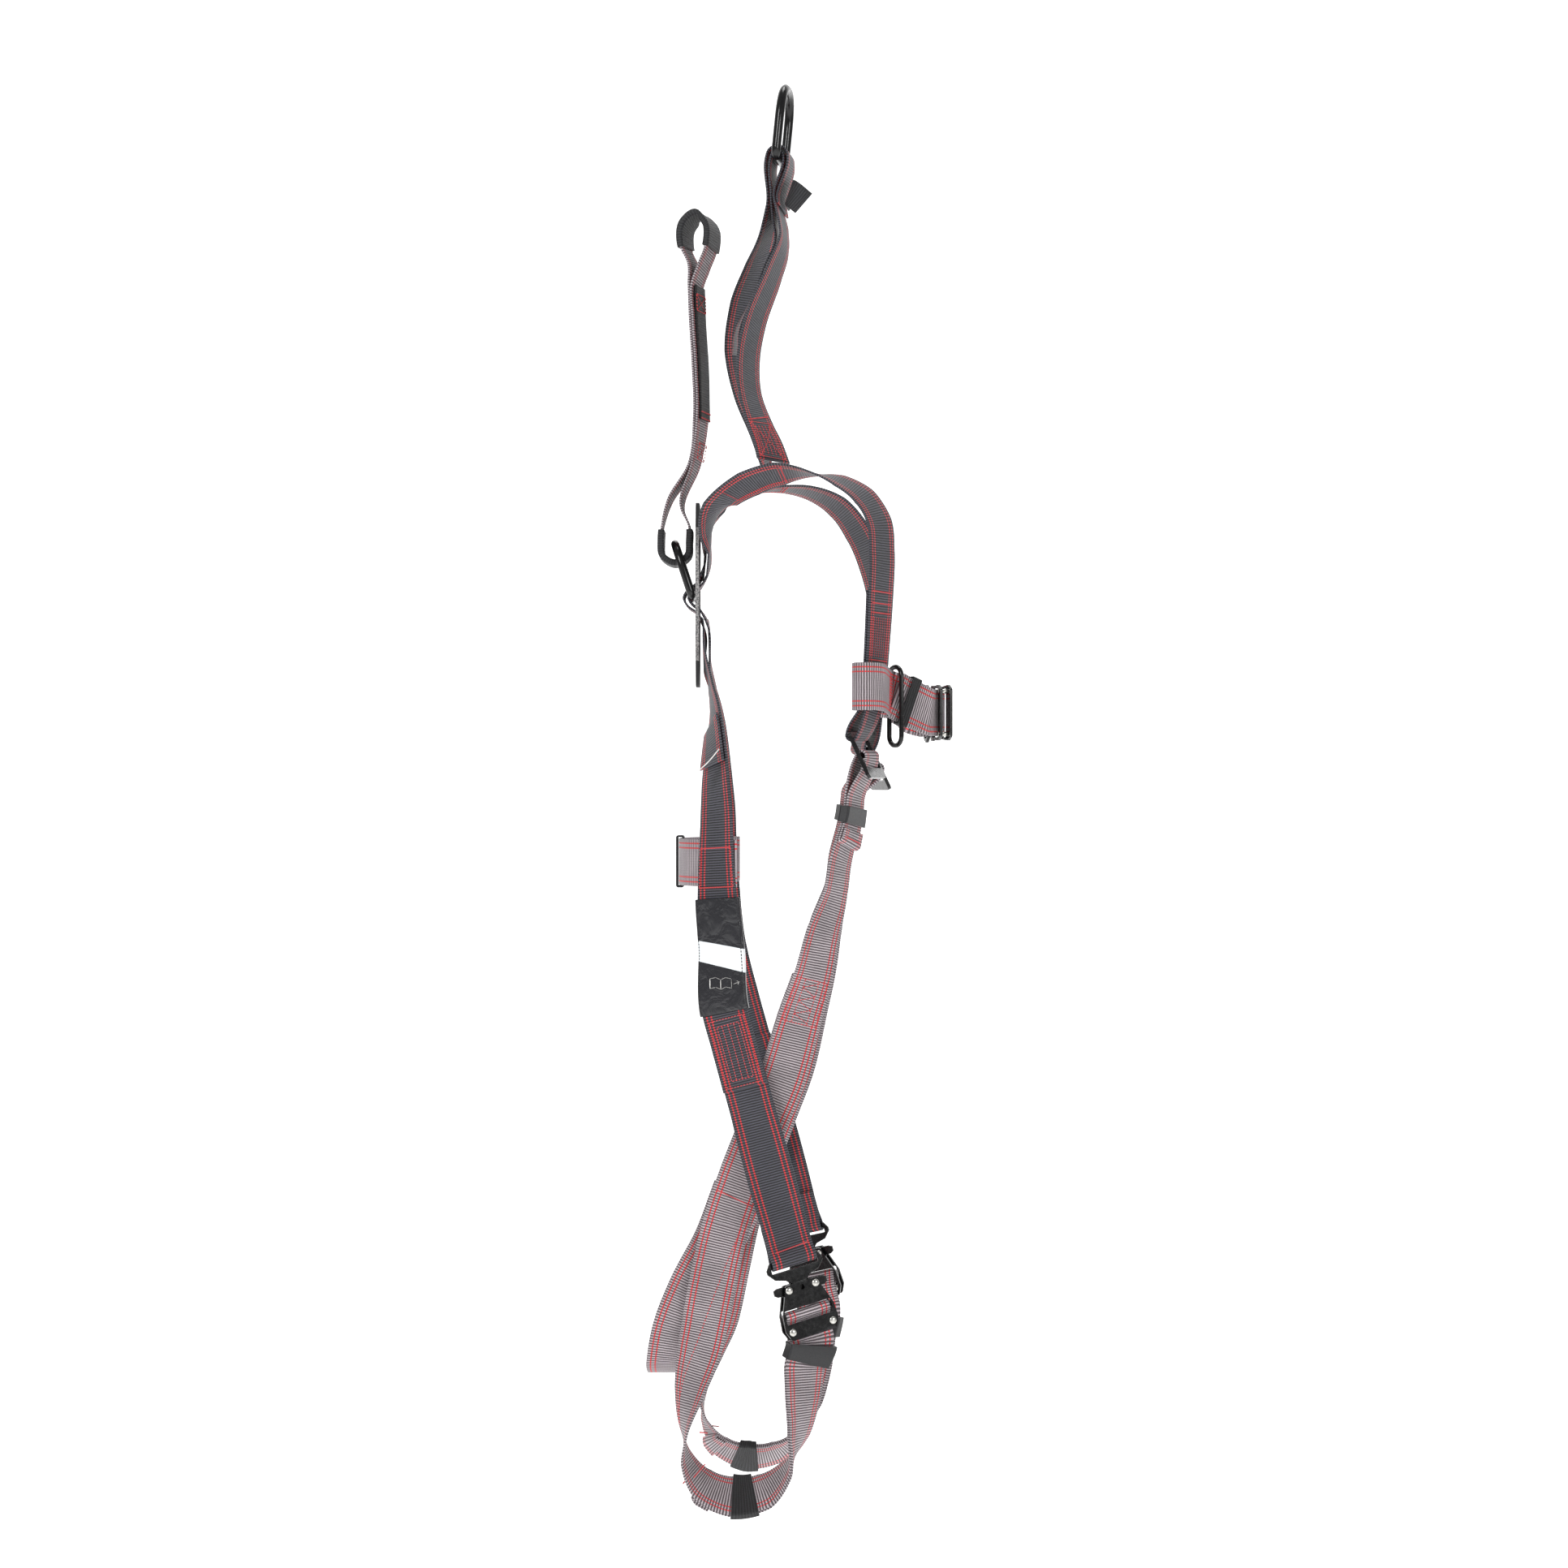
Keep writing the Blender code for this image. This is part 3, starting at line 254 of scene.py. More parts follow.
def between(pairs, high, low):
    """The part of a route whose height lies between two nominal heights."""
    return [pair for pair in pairs if low * LENGTH_RATIO <= pair[0].z <= high * LENGTH_RATIO]


def section(pairs, near, length, steps=4):
    """The stretch of a route of a given length, centred where it passes nearest to a point."""
    reach = [0.0]
    nearest = []
    for (a, _), (b, _) in zip(pairs, pairs[1:]):
        span = (b - a).length
        t = min(max((near - a).dot(b - a) / span ** 2, 0.0), 1.0)
        nearest.append(((a.lerp(b, t) - near).length, reach[-1] + span * t))
        reach.append(reach[-1] + span)
    middle = min(nearest)[1]
    found = []
    for k in range(steps + 1):
        place = min(max(middle + length * (k / steps - 0.5), 0.0), reach[-1] - 0.001)
        i = next(j for j in range(len(reach) - 1) if reach[j + 1] > place)
        t = (place - reach[i]) / (reach[i + 1] - reach[i])
        w0, w1 = pairs[i][1], pairs[i + 1][1]
        w1 = -w1 if w0.dot(w1) < 0 else w1
        found.append((pairs[i][0].lerp(pairs[i + 1][0], t), w0.lerp(w1, t).normalized()))
    return found


def trimmed(pairs, length):
    """A route with a length taken off its far end."""
    left = 0.0
    kept = list(pairs)
    while left < length:
        left += (kept[-1][0] - kept[-2][0]).length
        kept.pop()
    return kept


def round_bar(frame, centre, radius, start, end, steps=8):
    """Pairs on an arc about a bar that runs along the frame's X; angles in the frame's YZ plane."""
    width = frame.to_3x3() @ Vector((1, 0, 0))
    pairs = []
    for k in range(steps + 1):
        angle = math.radians(start + (end - start) * k / steps)
        local = Vector((0, centre[0] + radius * math.cos(angle), centre[1] + radius * math.sin(angle)))
        pairs.append((frame @ local, width))
    return pairs


def on_frame(frame, *places):
    """Pairs at places (up, out) in a frame's middle plane, the width along the frame's X."""
    width = frame.to_3x3() @ Vector((1, 0, 0))
    return [(frame @ Vector((0, up, out)), width) for up, out in places]

# %% [markdown]
# ## Outlines
#
# Plates and rings are cut from flat outlines with rounded corners.  Fine arcs matter here,
# because the gloss on black steel shows every facet.


# %% Outlines
def arc_points(centre, radius, start, end, steps=8):
    """Points on an arc, angles in degrees."""
    points = []
    for k in range(steps + 1):
        angle = math.radians(start + (end - start) * k / steps)
        points.append((centre[0] + radius * math.cos(angle), centre[1] + radius * math.sin(angle)))
    return points


def rounded(corners, radius, steps=6):
    """Closed outline through corners, each cut by an arc."""
    points = []
    count = len(corners)
    for i in range(count):
        corner = Vector(corners[i])
        back = (Vector(corners[i - 1]) - corner).normalized()
        ahead = (Vector(corners[(i + 1) % count]) - corner).normalized()
        half = back.angle(ahead) / 2
        reach = radius / math.tan(half)
        start = corner + back * reach
        end = corner + ahead * reach
        middle = corner + (back + ahead).normalized() * (radius / math.sin(half))
        for k in range(steps + 1):
            spoke = (start - middle).lerp(end - middle, k / steps).normalized() * radius
            points.append(tuple(middle + spoke))
    return points


def rectangle(low_x, low_y, high_x, high_y, radius=1.5):
    """Rounded rectangle."""
    return rounded([(low_x, low_y), (high_x, low_y), (high_x, high_y), (low_x, high_y)], radius)


def disc(x, y, radius, steps=28):
    """Round hole or disc."""
    return arc_points((x, y), radius, 0, 360 - 360 / steps, steps - 1)


def d_outline(half_width, height):
    """Middle line of a D-ring: its bar on the X axis about the origin, its bow towards +Y."""
    corner = 7.0
    shoulder = height * 0.45
    left = arc_points((-half_width + corner, corner), corner, 270, 180, 9)
    right = arc_points((half_width - corner, corner), corner, 0, -90, 9)
    bow = [(math.copysign(abs(x) ** BOW_POWER, x) * half_width,
            shoulder + y ** BOW_POWER * (height - shoulder)) for x, y in arc_points((0, 0), 1, 180, 0, 44)]
    return left + bow + right


def both_sides(half):
    """Complete an outline given by its right half, from bottom to top."""
    return half + [(-x, y) for x, y in reversed(half)]

# %% [markdown]
# ## Finishes
#
# Polyester webbing is woven with thick filling yarns, which stand as ribs across the strap about
# 2.4 mm apart.  Red marker yarns run near both edges and dive under every other rib, so they
# show as dotted lines.  The finish reads the strap's own UV, which is laid out in metres: across
# the webbing and along it.
# Ribs are coloured lighter and grooves darker, as painted highlight and painted shade.


# %% Colour and node helpers
def linear(colour):
    """Linear RGBA of an sRGB hex colour."""
    channels = [int(colour[i:i + 2], 16) / 255 for i in (1, 3, 5)]
    return (*[c / 12.92 if c <= 0.04045 else ((c + 0.055) / 1.055) ** 2.4 for c in channels], 1.0)


def new_finish(name):
    """A new material's node tree and its shader."""
    material = bpy.data.materials.new(name)
    material.use_nodes = True
    return material, material.node_tree, material.node_tree.nodes["Principled BSDF"]


def node(tree, kind, links, **settings):
    """Add a node with its settings; links pair each input with a value or an output."""
    made = tree.nodes.new(kind)
    for key, value in settings.items():
        setattr(made, key, value)
    for target, value in links:
        if isinstance(value, bpy.types.NodeSocket):
            tree.links.new(value, made.inputs[target])
        else:
            made.inputs[target].default_value = value
    return made


# %% Woven webbing
RIB_PITCH = 2.4e-3           # filling yarns, metres
WARP_PITCH = 1.5e-3
MARKER_MIDDLE = 16.1e-3      # between the two marker yarns of one edge, from the strap's middle
MARKER_APART = 2.2e-3
MARKER_HALF = 0.72e-3


def woven_finish(name, lit_rib_colour, groove_shade_colour, marker_colour=None, gloss=0.62):
    """Ribbed polyester webbing, painted highlight on the ribs and painted shade in the grooves, with dotted
    marker yarns where a colour is given.
    """
    material, tree, shader = new_finish(name)
    uv = node(tree, "ShaderNodeUVMap", [])
    split = node(tree, "ShaderNodeSeparateXYZ", [(0, uv.outputs[0])])
    across, along = split.outputs[0], split.outputs[1]
    uneven = node(tree, "ShaderNodeTexNoise",
                  [("Vector", uv.outputs[0]), ("Scale", 160.0), ("Detail", 2.0)])
    phase = node(tree, "ShaderNodeMath", [(0, along), (1, math.tau / RIB_PITCH)], operation="MULTIPLY")
    moved = node(tree, "ShaderNodeMath", [(0, uneven.outputs[0]), (1, 1.6), (2, phase.outputs[0])],
                 operation="MULTIPLY_ADD")
    rib = node(tree, "ShaderNodeMath", [(0, moved.outputs[0])], operation="SINE")
    warp_phase = node(tree, "ShaderNodeMath", [(0, across), (1, math.tau / WARP_PITCH)],
                      operation="MULTIPLY")
    warp = node(tree, "ShaderNodeMath", [(0, warp_phase.outputs[0])], operation="SINE")
    weave = node(tree, "ShaderNodeMath", [(0, warp.outputs[0]), (1, 0.22), (2, rib.outputs[0])],
                 operation="MULTIPLY_ADD")
    height = node(tree, "ShaderNodeMapRange", [(0, weave.outputs[0]), (1, -0.6), (2, 0.75)])
    # Grooves take the dark colour and ribs the light one: painted shade in the hollows, painted highlight on
    # the crests.
    colour = node(tree, "ShaderNodeMix", [(0, height.outputs[0]), (6, linear(groove_shade_colour)),
                                          (7, linear(lit_rib_colour))], data_type="RGBA")
    wear = node(tree, "ShaderNodeTexNoise", [("Vector", uv.outputs[0]), ("Scale", 28.0), ("Detail", 5.0)])
    shade = node(tree, "ShaderNodeMapRange", [(0, wear.outputs[0]), (1, 0.3), (2, 0.7), (3, 0.82),
                                              (4, 1.12)])
    tinted = node(tree, "ShaderNodeMix", [(0, 1.0), (6, colour.outputs[2]), (7, shade.outputs[0])],
                  data_type="RGBA", blend_type="MULTIPLY")
    out = tinted.outputs[2]
    if marker_colour:
        side = node(tree, "ShaderNodeMath", [(0, across)], operation="ABSOLUTE")
        off = node(tree, "ShaderNodeMath", [(0, side.outputs[0]), (1, MARKER_MIDDLE)],
                   operation="SUBTRACT")
        apart = node(tree, "ShaderNodeMath", [(0, off.outputs[0])], operation="ABSOLUTE")
        row = node(tree, "ShaderNodeMath", [(0, apart.outputs[0]), (1, MARKER_APART), (2, MARKER_HALF)],
                   operation="COMPARE")
        dots = node(tree, "ShaderNodeMath", [(0, rib.outputs[0]), (1, -0.45)], operation="GREATER_THAN")
        marker = node(tree, "ShaderNodeMath", [(0, row.outputs[0]), (1, dots.outputs[0])],
                      operation="MULTIPLY")
        marked = node(tree, "ShaderNodeMix", [(0, marker.outputs[0]), (6, out), (7, linear(marker_colour))],
                      data_type="RGBA")
        out = marked.outputs[2]
    tree.links.new(out, shader.inputs["Base Color"])
    fibre = node(tree, "ShaderNodeTexNoise", [("Vector", uv.outputs[0]), ("Scale", 2600.0), ("Detail", 1.0)])
    relief = node(tree, "ShaderNodeMath", [(0, fibre.outputs[0]), (1, 0.35), (2, height.outputs[0])],
                  operation="MULTIPLY_ADD")
    bump = node(tree, "ShaderNodeBump", [("Height", relief.outputs[0]), ("Distance", 0.0005),
                                         ("Strength", 0.9)])
    tree.links.new(bump.outputs[0], shader.inputs["Normal"])
    shader.inputs["Roughness"].default_value = gloss
    shader.inputs["Sheen Weight"].default_value = 0.06
    shader.inputs["Sheen Roughness"].default_value = 0.5
    return material


MARKER_RED = "#ea3034"
# First colour: ribs with painted highlight; second: grooves with painted shade.
dark_polyester = woven_finish("dark_polyester_webbing", "#51505b", "#100f12", MARKER_RED, 0.5)
grey_polyester = woven_finish("grey_polyester_webbing", "#c2b7bc", "#4e4548", MARKER_RED)
black_binding = woven_finish("black_binding_tape", "#2c2c30", "#111113", None, 0.6)
black_elastic = woven_finish("black_knitted_elastic", "#262629", "#0c0c0d", None, 0.7)

# %% [markdown]
# ## Metal, plastic, vinyl and thread
#
# The steel is forged or stamped, then coated glossy black, and the coat thins at edges and
# where webbing rubs.  Rivets are nickel.  Keepers are moulded plastic with a fine grain.


# %% Coated steel and nickel
def coated_steel():
    """Glossy black coat over steel, scuffed thinly."""
    material, tree, shader = new_finish("black_coated_steel")
    place = node(tree, "ShaderNodeTexCoord", [])
    scuff = node(tree, "ShaderNodeTexNoise", [("Vector", place.outputs["Object"]), ("Scale", 260.0),
                                              ("Detail", 6.0), ("Roughness", 0.65)])
    gloss = node(tree, "ShaderNodeMapRange", [(0, scuff.outputs[0]), (1, 0.35), (2, 0.75), (3, 0.14),
                                              (4, 0.34)])
    edges = node(tree, "ShaderNodeNewGeometry", [])
    worn = node(tree, "ShaderNodeMapRange", [(0, edges.outputs["Pointiness"]), (1, 0.54), (2, 0.62)])
    patchy = node(tree, "ShaderNodeMath", [(0, worn.outputs[0]), (1, scuff.outputs[0])],
                  operation="MULTIPLY")
    colour = node(tree, "ShaderNodeMix", [(0, patchy.outputs[0]), (6, linear("#0b0b0c")),
                                          (7, linear("#5a5a5c"))], data_type="RGBA")
    orange_peel = node(tree, "ShaderNodeBump", [("Height", scuff.outputs[0]), ("Distance", 0.00006),
                                                ("Strength", 0.5)])
    tree.links.new(colour.outputs[2], shader.inputs["Base Color"])
    tree.links.new(gloss.outputs[0], shader.inputs["Roughness"])
    tree.links.new(orange_peel.outputs[0], shader.inputs["Normal"])
    shader.inputs["Coat Weight"].default_value = 0.25
    shader.inputs["Specular IOR Level"].default_value = 0.35
    shader.inputs["Coat Roughness"].default_value = 0.08
    return material


def plain_finish(name, low, high, scale, rough, metallic=0.0, relief=0.00008):
    """A finish of two close colours in a fine grain; scale is grains per metre."""
    material, tree, shader = new_finish(name)
    place = node(tree, "ShaderNodeTexCoord", [])
    grain = node(tree, "ShaderNodeTexNoise", [("Vector", place.outputs["Object"]), ("Scale", scale),
                                              ("Detail", 4.0)])
    share = node(tree, "ShaderNodeMapRange", [(0, grain.outputs[0]), (1, 0.35), (2, 0.65)])
    colour = node(tree, "ShaderNodeMix", [(0, share.outputs[0]), (6, linear(low)), (7, linear(high))],
                  data_type="RGBA")
    wear = node(tree, "ShaderNodeMapRange", [(0, grain.outputs[0]), (1, 0.3), (2, 0.7),
                                             (3, rough - 0.08), (4, rough + 0.1)])
    bump = node(tree, "ShaderNodeBump", [("Height", grain.outputs[0]), ("Distance", relief),
                                         ("Strength", 0.7)])
    tree.links.new(colour.outputs[2], shader.inputs["Base Color"])
    tree.links.new(wear.outputs[0], shader.inputs["Roughness"])
    tree.links.new(bump.outputs[0], shader.inputs["Normal"])
    shader.inputs["Metallic"].default_value = metallic
    return material


black_coat = coated_steel()
nickel = plain_finish("nickel_plated_rivet", "#b4b3ae", "#dcdad4", 500.0, 0.28, 1.0)
moulded_black = plain_finish("moulded_black_nylon", "#151517", "#232326", 900.0, 0.42)
red_thread = plain_finish("bonded_red_thread", "#c23c40", "#e4565a", 2200.0, 0.55)
white_tape = plain_finish("white_woven_tag", "#dcdad6", "#f4f2ee", 1400.0, 0.7)
black_thread = plain_finish("bonded_black_thread", "#1c1c1f", "#2e2e32", 2200.0, 0.55)


# %% Clear-faced vinyl
BAND_SLANT = -0.22           # rise of the pale band across the sleeve
BAND_PLACE = 0.054           # from the sleeve's lower end, metres
BAND_HALF = 0.0105


def vinyl_finish():
    """Glossy dark vinyl with soft creases and one pale printed band across it."""
    material, tree, shader = new_finish("clear_faced_vinyl")
    uv = node(tree, "ShaderNodeUVMap", [])
    split = node(tree, "ShaderNodeSeparateXYZ", [(0, uv.outputs[0])])
    slant = node(tree, "ShaderNodeMath", [(0, split.outputs[0]), (1, BAND_SLANT), (2, split.outputs[1])],
                 operation="MULTIPLY_ADD")
    band = node(tree, "ShaderNodeMath", [(0, slant.outputs[0]), (1, BAND_PLACE), (2, BAND_HALF)],
                operation="COMPARE")
    crease = node(tree, "ShaderNodeTexNoise", [("Vector", uv.outputs[0]), ("Scale", 55.0), ("Detail", 3.0),
                                               ("Distortion", 0.6)])
    colour = node(tree, "ShaderNodeMix", [(0, band.outputs[0]), (6, linear("#1d1d22")),
                                          (7, linear("#eef3f6"))], data_type="RGBA")
    bump = node(tree, "ShaderNodeBump", [("Height", crease.outputs[0]), ("Distance", 0.004),
                                         ("Strength", 0.55)])
    gloss = node(tree, "ShaderNodeMapRange", [(0, crease.outputs[0]), (3, 0.12), (4, 0.3)])
    tree.links.new(colour.outputs[2], shader.inputs["Base Color"])
    tree.links.new(bump.outputs[0], shader.inputs["Normal"])
    tree.links.new(gloss.outputs[0], shader.inputs["Roughness"])
    shader.inputs["Coat Weight"].default_value = 0.8
    shader.inputs["Coat Roughness"].default_value = 0.1
    return material


def plate_finish():
    """Grey speckled moulding whose two ends are black."""
    material, tree, shader = new_finish("speckled_moulded_plate")
    low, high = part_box("dorsal_plate")
    place = node(tree, "ShaderNodeTexCoord", [])
    split = node(tree, "ShaderNodeSeparateXYZ", [(0, place.outputs["Object"])])
    middle = (low.z + high.z) / 2
    away = node(tree, "ShaderNodeMath", [(0, split.outputs[2]), (1, middle)], operation="SUBTRACT")
    side = node(tree, "ShaderNodeMath", [(0, away.outputs[0])], operation="ABSOLUTE")
    ends = node(tree, "ShaderNodeMath", [(0, side.outputs[0]), (1, (high.z - low.z) * 0.36)],
                operation="GREATER_THAN")
    grain = node(tree, "ShaderNodeTexNoise", [("Vector", place.outputs["Object"]), ("Scale", 700.0),
                                              ("Detail", 3.0)])
    share = node(tree, "ShaderNodeMapRange", [(0, grain.outputs[0]), (1, 0.4), (2, 0.6)])
    speckle = node(tree, "ShaderNodeMix", [(0, share.outputs[0]), (6, linear("#4d4d50")),
                                           (7, linear("#9c9a98"))], data_type="RGBA")
    colour = node(tree, "ShaderNodeMix", [(0, ends.outputs[0]), (6, speckle.outputs[2]),
                                          (7, linear("#17171a"))], data_type="RGBA")
    bump = node(tree, "ShaderNodeBump", [("Height", grain.outputs[0]), ("Distance", 0.0002),
                                         ("Strength", 0.6)])
    tree.links.new(colour.outputs[2], shader.inputs["Base Color"])
    tree.links.new(bump.outputs[0], shader.inputs["Normal"])
    shader.inputs["Roughness"].default_value = 0.55
    return material


glossy_vinyl = vinyl_finish()
speckled_plate = plate_finish()
print(len(bpy.data.materials), "materials")

# %% [markdown]
# ## Making a piece
#
# Every strap, band and ring is one grid wrapped round its route: the grid's first direction goes
# round the cross section and the second one runs along.  The grid's own places give the UV, so
# the weave follows the strap through every turn.

# %% Wrap a grid round a route
ROOT = "harness"


def finished(name, bm, material, body, nodes=(), bevel=0.0, wall=0.0):
    """Make a mesh in millimetres into a piece that rides on a body and stands for its nodes."""
    bmesh.ops.transform(bm, matrix=Matrix.Scale(MM, 4), verts=bm.verts)
    mesh = bpy.data.meshes.new(name)
    bm.to_mesh(mesh)
    bm.free()
    mesh.materials.append(material)
    mesh.shade_smooth()
    piece = bpy.data.objects.new(name, mesh)
    bpy.context.scene.collection.objects.link(piece)
    if wall:
        solid = piece.modifiers.new("wall", "SOLIDIFY")
        solid.thickness = wall * MM
        solid.offset = -1
    if bevel:
        soften = piece.modifiers.new("soft edges", "BEVEL")
        soften.width = bevel * MM
        soften.segments = 3
        soften.limit_method = "ANGLE"
        soften.angle_limit = math.radians(40)
        piece.modifiers.new("flat faces stay flat", "WEIGHTED_NORMAL")
    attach(piece, body)
    if nodes:
        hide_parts(*nodes)
    return piece


def wrapped(pairs, outline, closed=False, capped=True, waver=0.0, girths=None):
    """A grid wrapped round a route; outline holds (across, out) places of the cross section."""
    triples = squared(pairs, closed)
    if closed:
        triples.append(triples[0])
    reach = [0.0]
    for (a, _, _), (b, _, _) in zip(triples, triples[1:]):
        reach.append(reach[-1] + (b - a).length)
    loop = outline + outline[:1]
    columns, rows = len(loop) - 1, len(triples) - 1
    bm = bmesh.new()
    bmesh.ops.create_grid(bm, x_segments=columns, y_segments=rows, size=1)
    uv = bm.loops.layers.uv.new("UVMap")
    cells = {v: (round((v.co.x + 1) / 2 * columns), round((v.co.y + 1) / 2 * rows)) for v in bm.verts}
    for face in bm.faces:
        for corner in face.loops:
            i, j = cells[corner.vert]
            corner[uv].uv = (loop[i][0] * MM, reach[j] * MM)
    for vert, (i, j) in cells.items():
        point, width, out = triples[j]
        girth = girths[j % len(girths)] if girths else 1.0
        drift = noise.noise(point * 0.03) * waver
        ripple = noise.noise(point * 0.11 + width * loop[i][0] * 0.05) * waver * 0.5
        vert.co = point + width * (loop[i][0] * girth + drift) + out * (loop[i][1] * girth + ripple)
    bmesh.ops.remove_doubles(bm, verts=bm.verts, dist=0.0005)
    if capped and not closed:
        bmesh.ops.holes_fill(bm, edges=[e for e in bm.edges if e.is_boundary], sides=0)
    bmesh.ops.recalc_face_normals(bm, faces=bm.faces)
    return bm


def web_outline(width=WEB_WIDTH, thick=WEB_THICK, columns=8):
    """Cross section of webbing: flat faces and rounded selvedges."""
    half, edge = width / 2, thick / 2
    flat = half - edge * 0.7
    top = [(-flat + 2 * flat * k / columns, edge) for k in range(columns + 1)]
    right = [(half - edge * 0.18, edge * 0.62), (half, 0), (half - edge * 0.18, -edge * 0.62)]
    bottom = [(x, -y) for x, y in reversed(top)]
    left = [(-x, -y) for x, y in right]
    return top + right + bottom + left


def strap(name, pairs, material, body=ROOT, width=WEB_WIDTH, thick=WEB_THICK, closed=False,
          waver=0.12):
    """A strap of webbing that stands for the node of its name."""
    bm = wrapped(pairs, web_outline(width, thick), closed, waver=waver)
    return finished(name + "_web", bm, material, body, [name])


def sleeve(name, pairs, material, stack, wall, middle=0.0, body=ROOT, bevel=0.35):
    """A band round webbing whose layers are stack thick in all."""
    half = HALF_WEB + 1.0 + wall
    high = stack / 2 + BAND_CLEAR + wall
    outline = [(x, y + middle) for x, y in rectangle(-half, -high, half, high, min(high * 0.8, 2.2))]
    bm = wrapped(pairs, outline, capped=False)
    return finished(name + "_band", bm, material, body, [name], bevel, wall)


# %% [markdown]
# ## Stitching
#
# Load-bearing webbing is joined by rows of lockstitch in a thread of the marker's red, boxes
# crossed by an X or a zigzag, and dense bar tacks.  Each stitch is a small rounded bead of
# thread lying on the strap, so that the rows catch the light as the real ones do.


# %% Lay threads on a strap
def track_of(pairs):
    """A route with its distances, ready to lay threads on."""
    triples = squared(pairs)
    reach = [0.0]
    for (a, _, _), (b, _, _) in zip(triples, triples[1:]):
        reach.append(reach[-1] + (b - a).length)
    return triples, reach


def on_track(track, across, along, lift):
    """Place on a strap: across from its middle, along from its start, lifted off its middle layer."""
    triples, reach = track
    along = min(max(along, 0.0), reach[-1] - 0.001)
    i = next(j for j in range(len(reach) - 1) if reach[j + 1] > along)
    t = (along - reach[i]) / (reach[i + 1] - reach[i])
    (p0, w0, o0), (p1, w1, o1) = triples[i], triples[i + 1]
    return p0.lerp(p1, t) + w0.lerp(w1, t) * across + o0.lerp(o1, t).normalized() * lift


def reach_at(track, height, crossing=0):
    """Distance along a track where it passes a nominal height, at its first or a later crossing."""
    triples, reach = track
    level_z = height * LENGTH_RATIO
    found = [reach[i] for i in range(len(reach) - 1)
             if (triples[i][0].z - level_z) * (triples[i + 1][0].z - level_z) <= 0]
    return found[crossing]


def reach_near(track, point):
    """Distance along a track of the cross section nearest to a point."""
    triples, reach = track
    return min(((triple[0] - point).length, distance) for triple, distance in zip(triples, reach))[1]


def both_faces(name, track, lines, inner=1.0, outer=1.0, **thread):
    """The same lines on both faces of the webbing, each lifted by its own amount."""
    sew(name + "_inner", track, lines, -inner, **thread)
    sew(name + "_outer", track, lines, outer, **thread)


def zigzag(low, high, half, turns):
    """Zigzag line between two distances along the strap."""
    return [(half * (-1) ** k, low + (high - low) * k / turns) for k in range(turns + 1)]


def tack(along, half=17.0, slope=0.0):
    """Bar tack across the strap: a dense narrow zigzag."""
    turns = max(8, round(half * 2))
    return [(-half + 2 * half * k / turns, along + slope * (2 * k / turns - 1) + 0.8 * (-1) ** k)
            for k in range(turns + 1)]


def box(low, high, half=17.0):
    """Four sides of a sewn box."""
    return [(-half, low), (half, low), (half, high), (-half, high), (-half, low)]


def box_x(low, high, half=17.0):
    """A sewn box crossed by an X."""
    return [box(low, high, half), [(-half, low), (half, high)], [(half, low), (-half, high)]]


def rows(low, high, count, half=15.0):
    """Rows of stitching that run along the strap."""
    return [[(-half + 2 * half * k / (count - 1), low), (-half + 2 * half * k / (count - 1), high)]
            for k in range(count)]


def sew(name, track, lines, lift, body=ROOT, slot="grey_webbing", material=red_thread, pitch=3.0,
        girth=0.52):
    """Beads of thread along lines of (across, along) places, lifted to one face of the webbing."""
    bm = bmesh.new()
    lift += math.copysign(0.12, lift)
    for line in lines:
        for (u0, s0), (u1, s1) in zip(line, line[1:]):
            count = max(1, round(math.hypot(u1 - u0, s1 - s0) / pitch))
            for k in range(count):
                ends = [on_track(track, u0 + (u1 - u0) * t, s0 + (s1 - s0) * t, lift)
                        for t in ((k + 0.08) / count, (k + 0.92) / count)]
                along = ends[1] - ends[0]
                turn = along.to_track_quat("X", "Z").to_matrix().to_4x4()
                size = Matrix.Diagonal((along.length / 2, girth, girth, 1))
                bmesh.ops.create_icosphere(bm, subdivisions=1, radius=1,
                                           matrix=Matrix.Translation((ends[0] + ends[1]) / 2) @ turn @ size)
    return finished(name, bm, material, body)


# %% [markdown]
# ## Lifting ring and lifting straps
#
# The forged ring hangs from a hook.  Forging leaves a thin parting ridge round its outer edge,
# so its cross section is a circle with two small points.  Two straps loop over its bar and a
# plain tab is wrapped across them.


# %% Forged rings
def rod_outline(radius, ridge=0.0):
    """Round cross section, with a parting ridge on its inner and outer side."""
    return [(radius * math.cos(a), radius * math.sin(a) + ridge * math.sin(a) ** 15)
            for a in (math.tau * k / 24 for k in range(24))]


def forged_ring(name, points, radius, matrix, body, ridge, bar_radius=None):
    """A closed rod that follows a flat outline; a point at height 0 belongs to the bar."""
    facing = matrix.to_3x3() @ Vector((0, 0, 1))
    pairs = [(matrix @ Vector((x, y, 0)), facing) for x, y in points]
    thin = (bar_radius or radius) / radius
    girths = [thin + (1 - thin) * min(max(y / 6.0, 0), 1) for x, y in points]
    bm = wrapped(pairs, rod_outline(radius, ridge), closed=True, girths=girths)
    return finished(name + "_forging", bm, black_coat, body, [name])


def lift_ring_frame():
    """Frame of the lifting ring: X along its bar, Y up to its bow."""
    top = Vector((3, 0, RING_RADIUS))
    up = Vector((0.1, 0, 0.995))
    frame = flat_frame(top - up * LIFT_RING_HEIGHT, math.radians(8), 0)
    across = frame.to_3x3() @ Vector((1, 0, 0))
    across = (across - up * up.dot(across)).normalized()
    return frame_at(frame.translation, across, up, across.cross(up))


DORSAL_BAR = at(-88.5, 0, -490)
DORSAL_LEAN = -math.radians(18)
EXTENSION_TURN = math.radians(13)


def dorsal_ring_frame():
    """Frame of the dorsal ring: X along its bar, Y up to its bow."""
    return flat_frame(DORSAL_BAR, 0, DORSAL_LEAN)


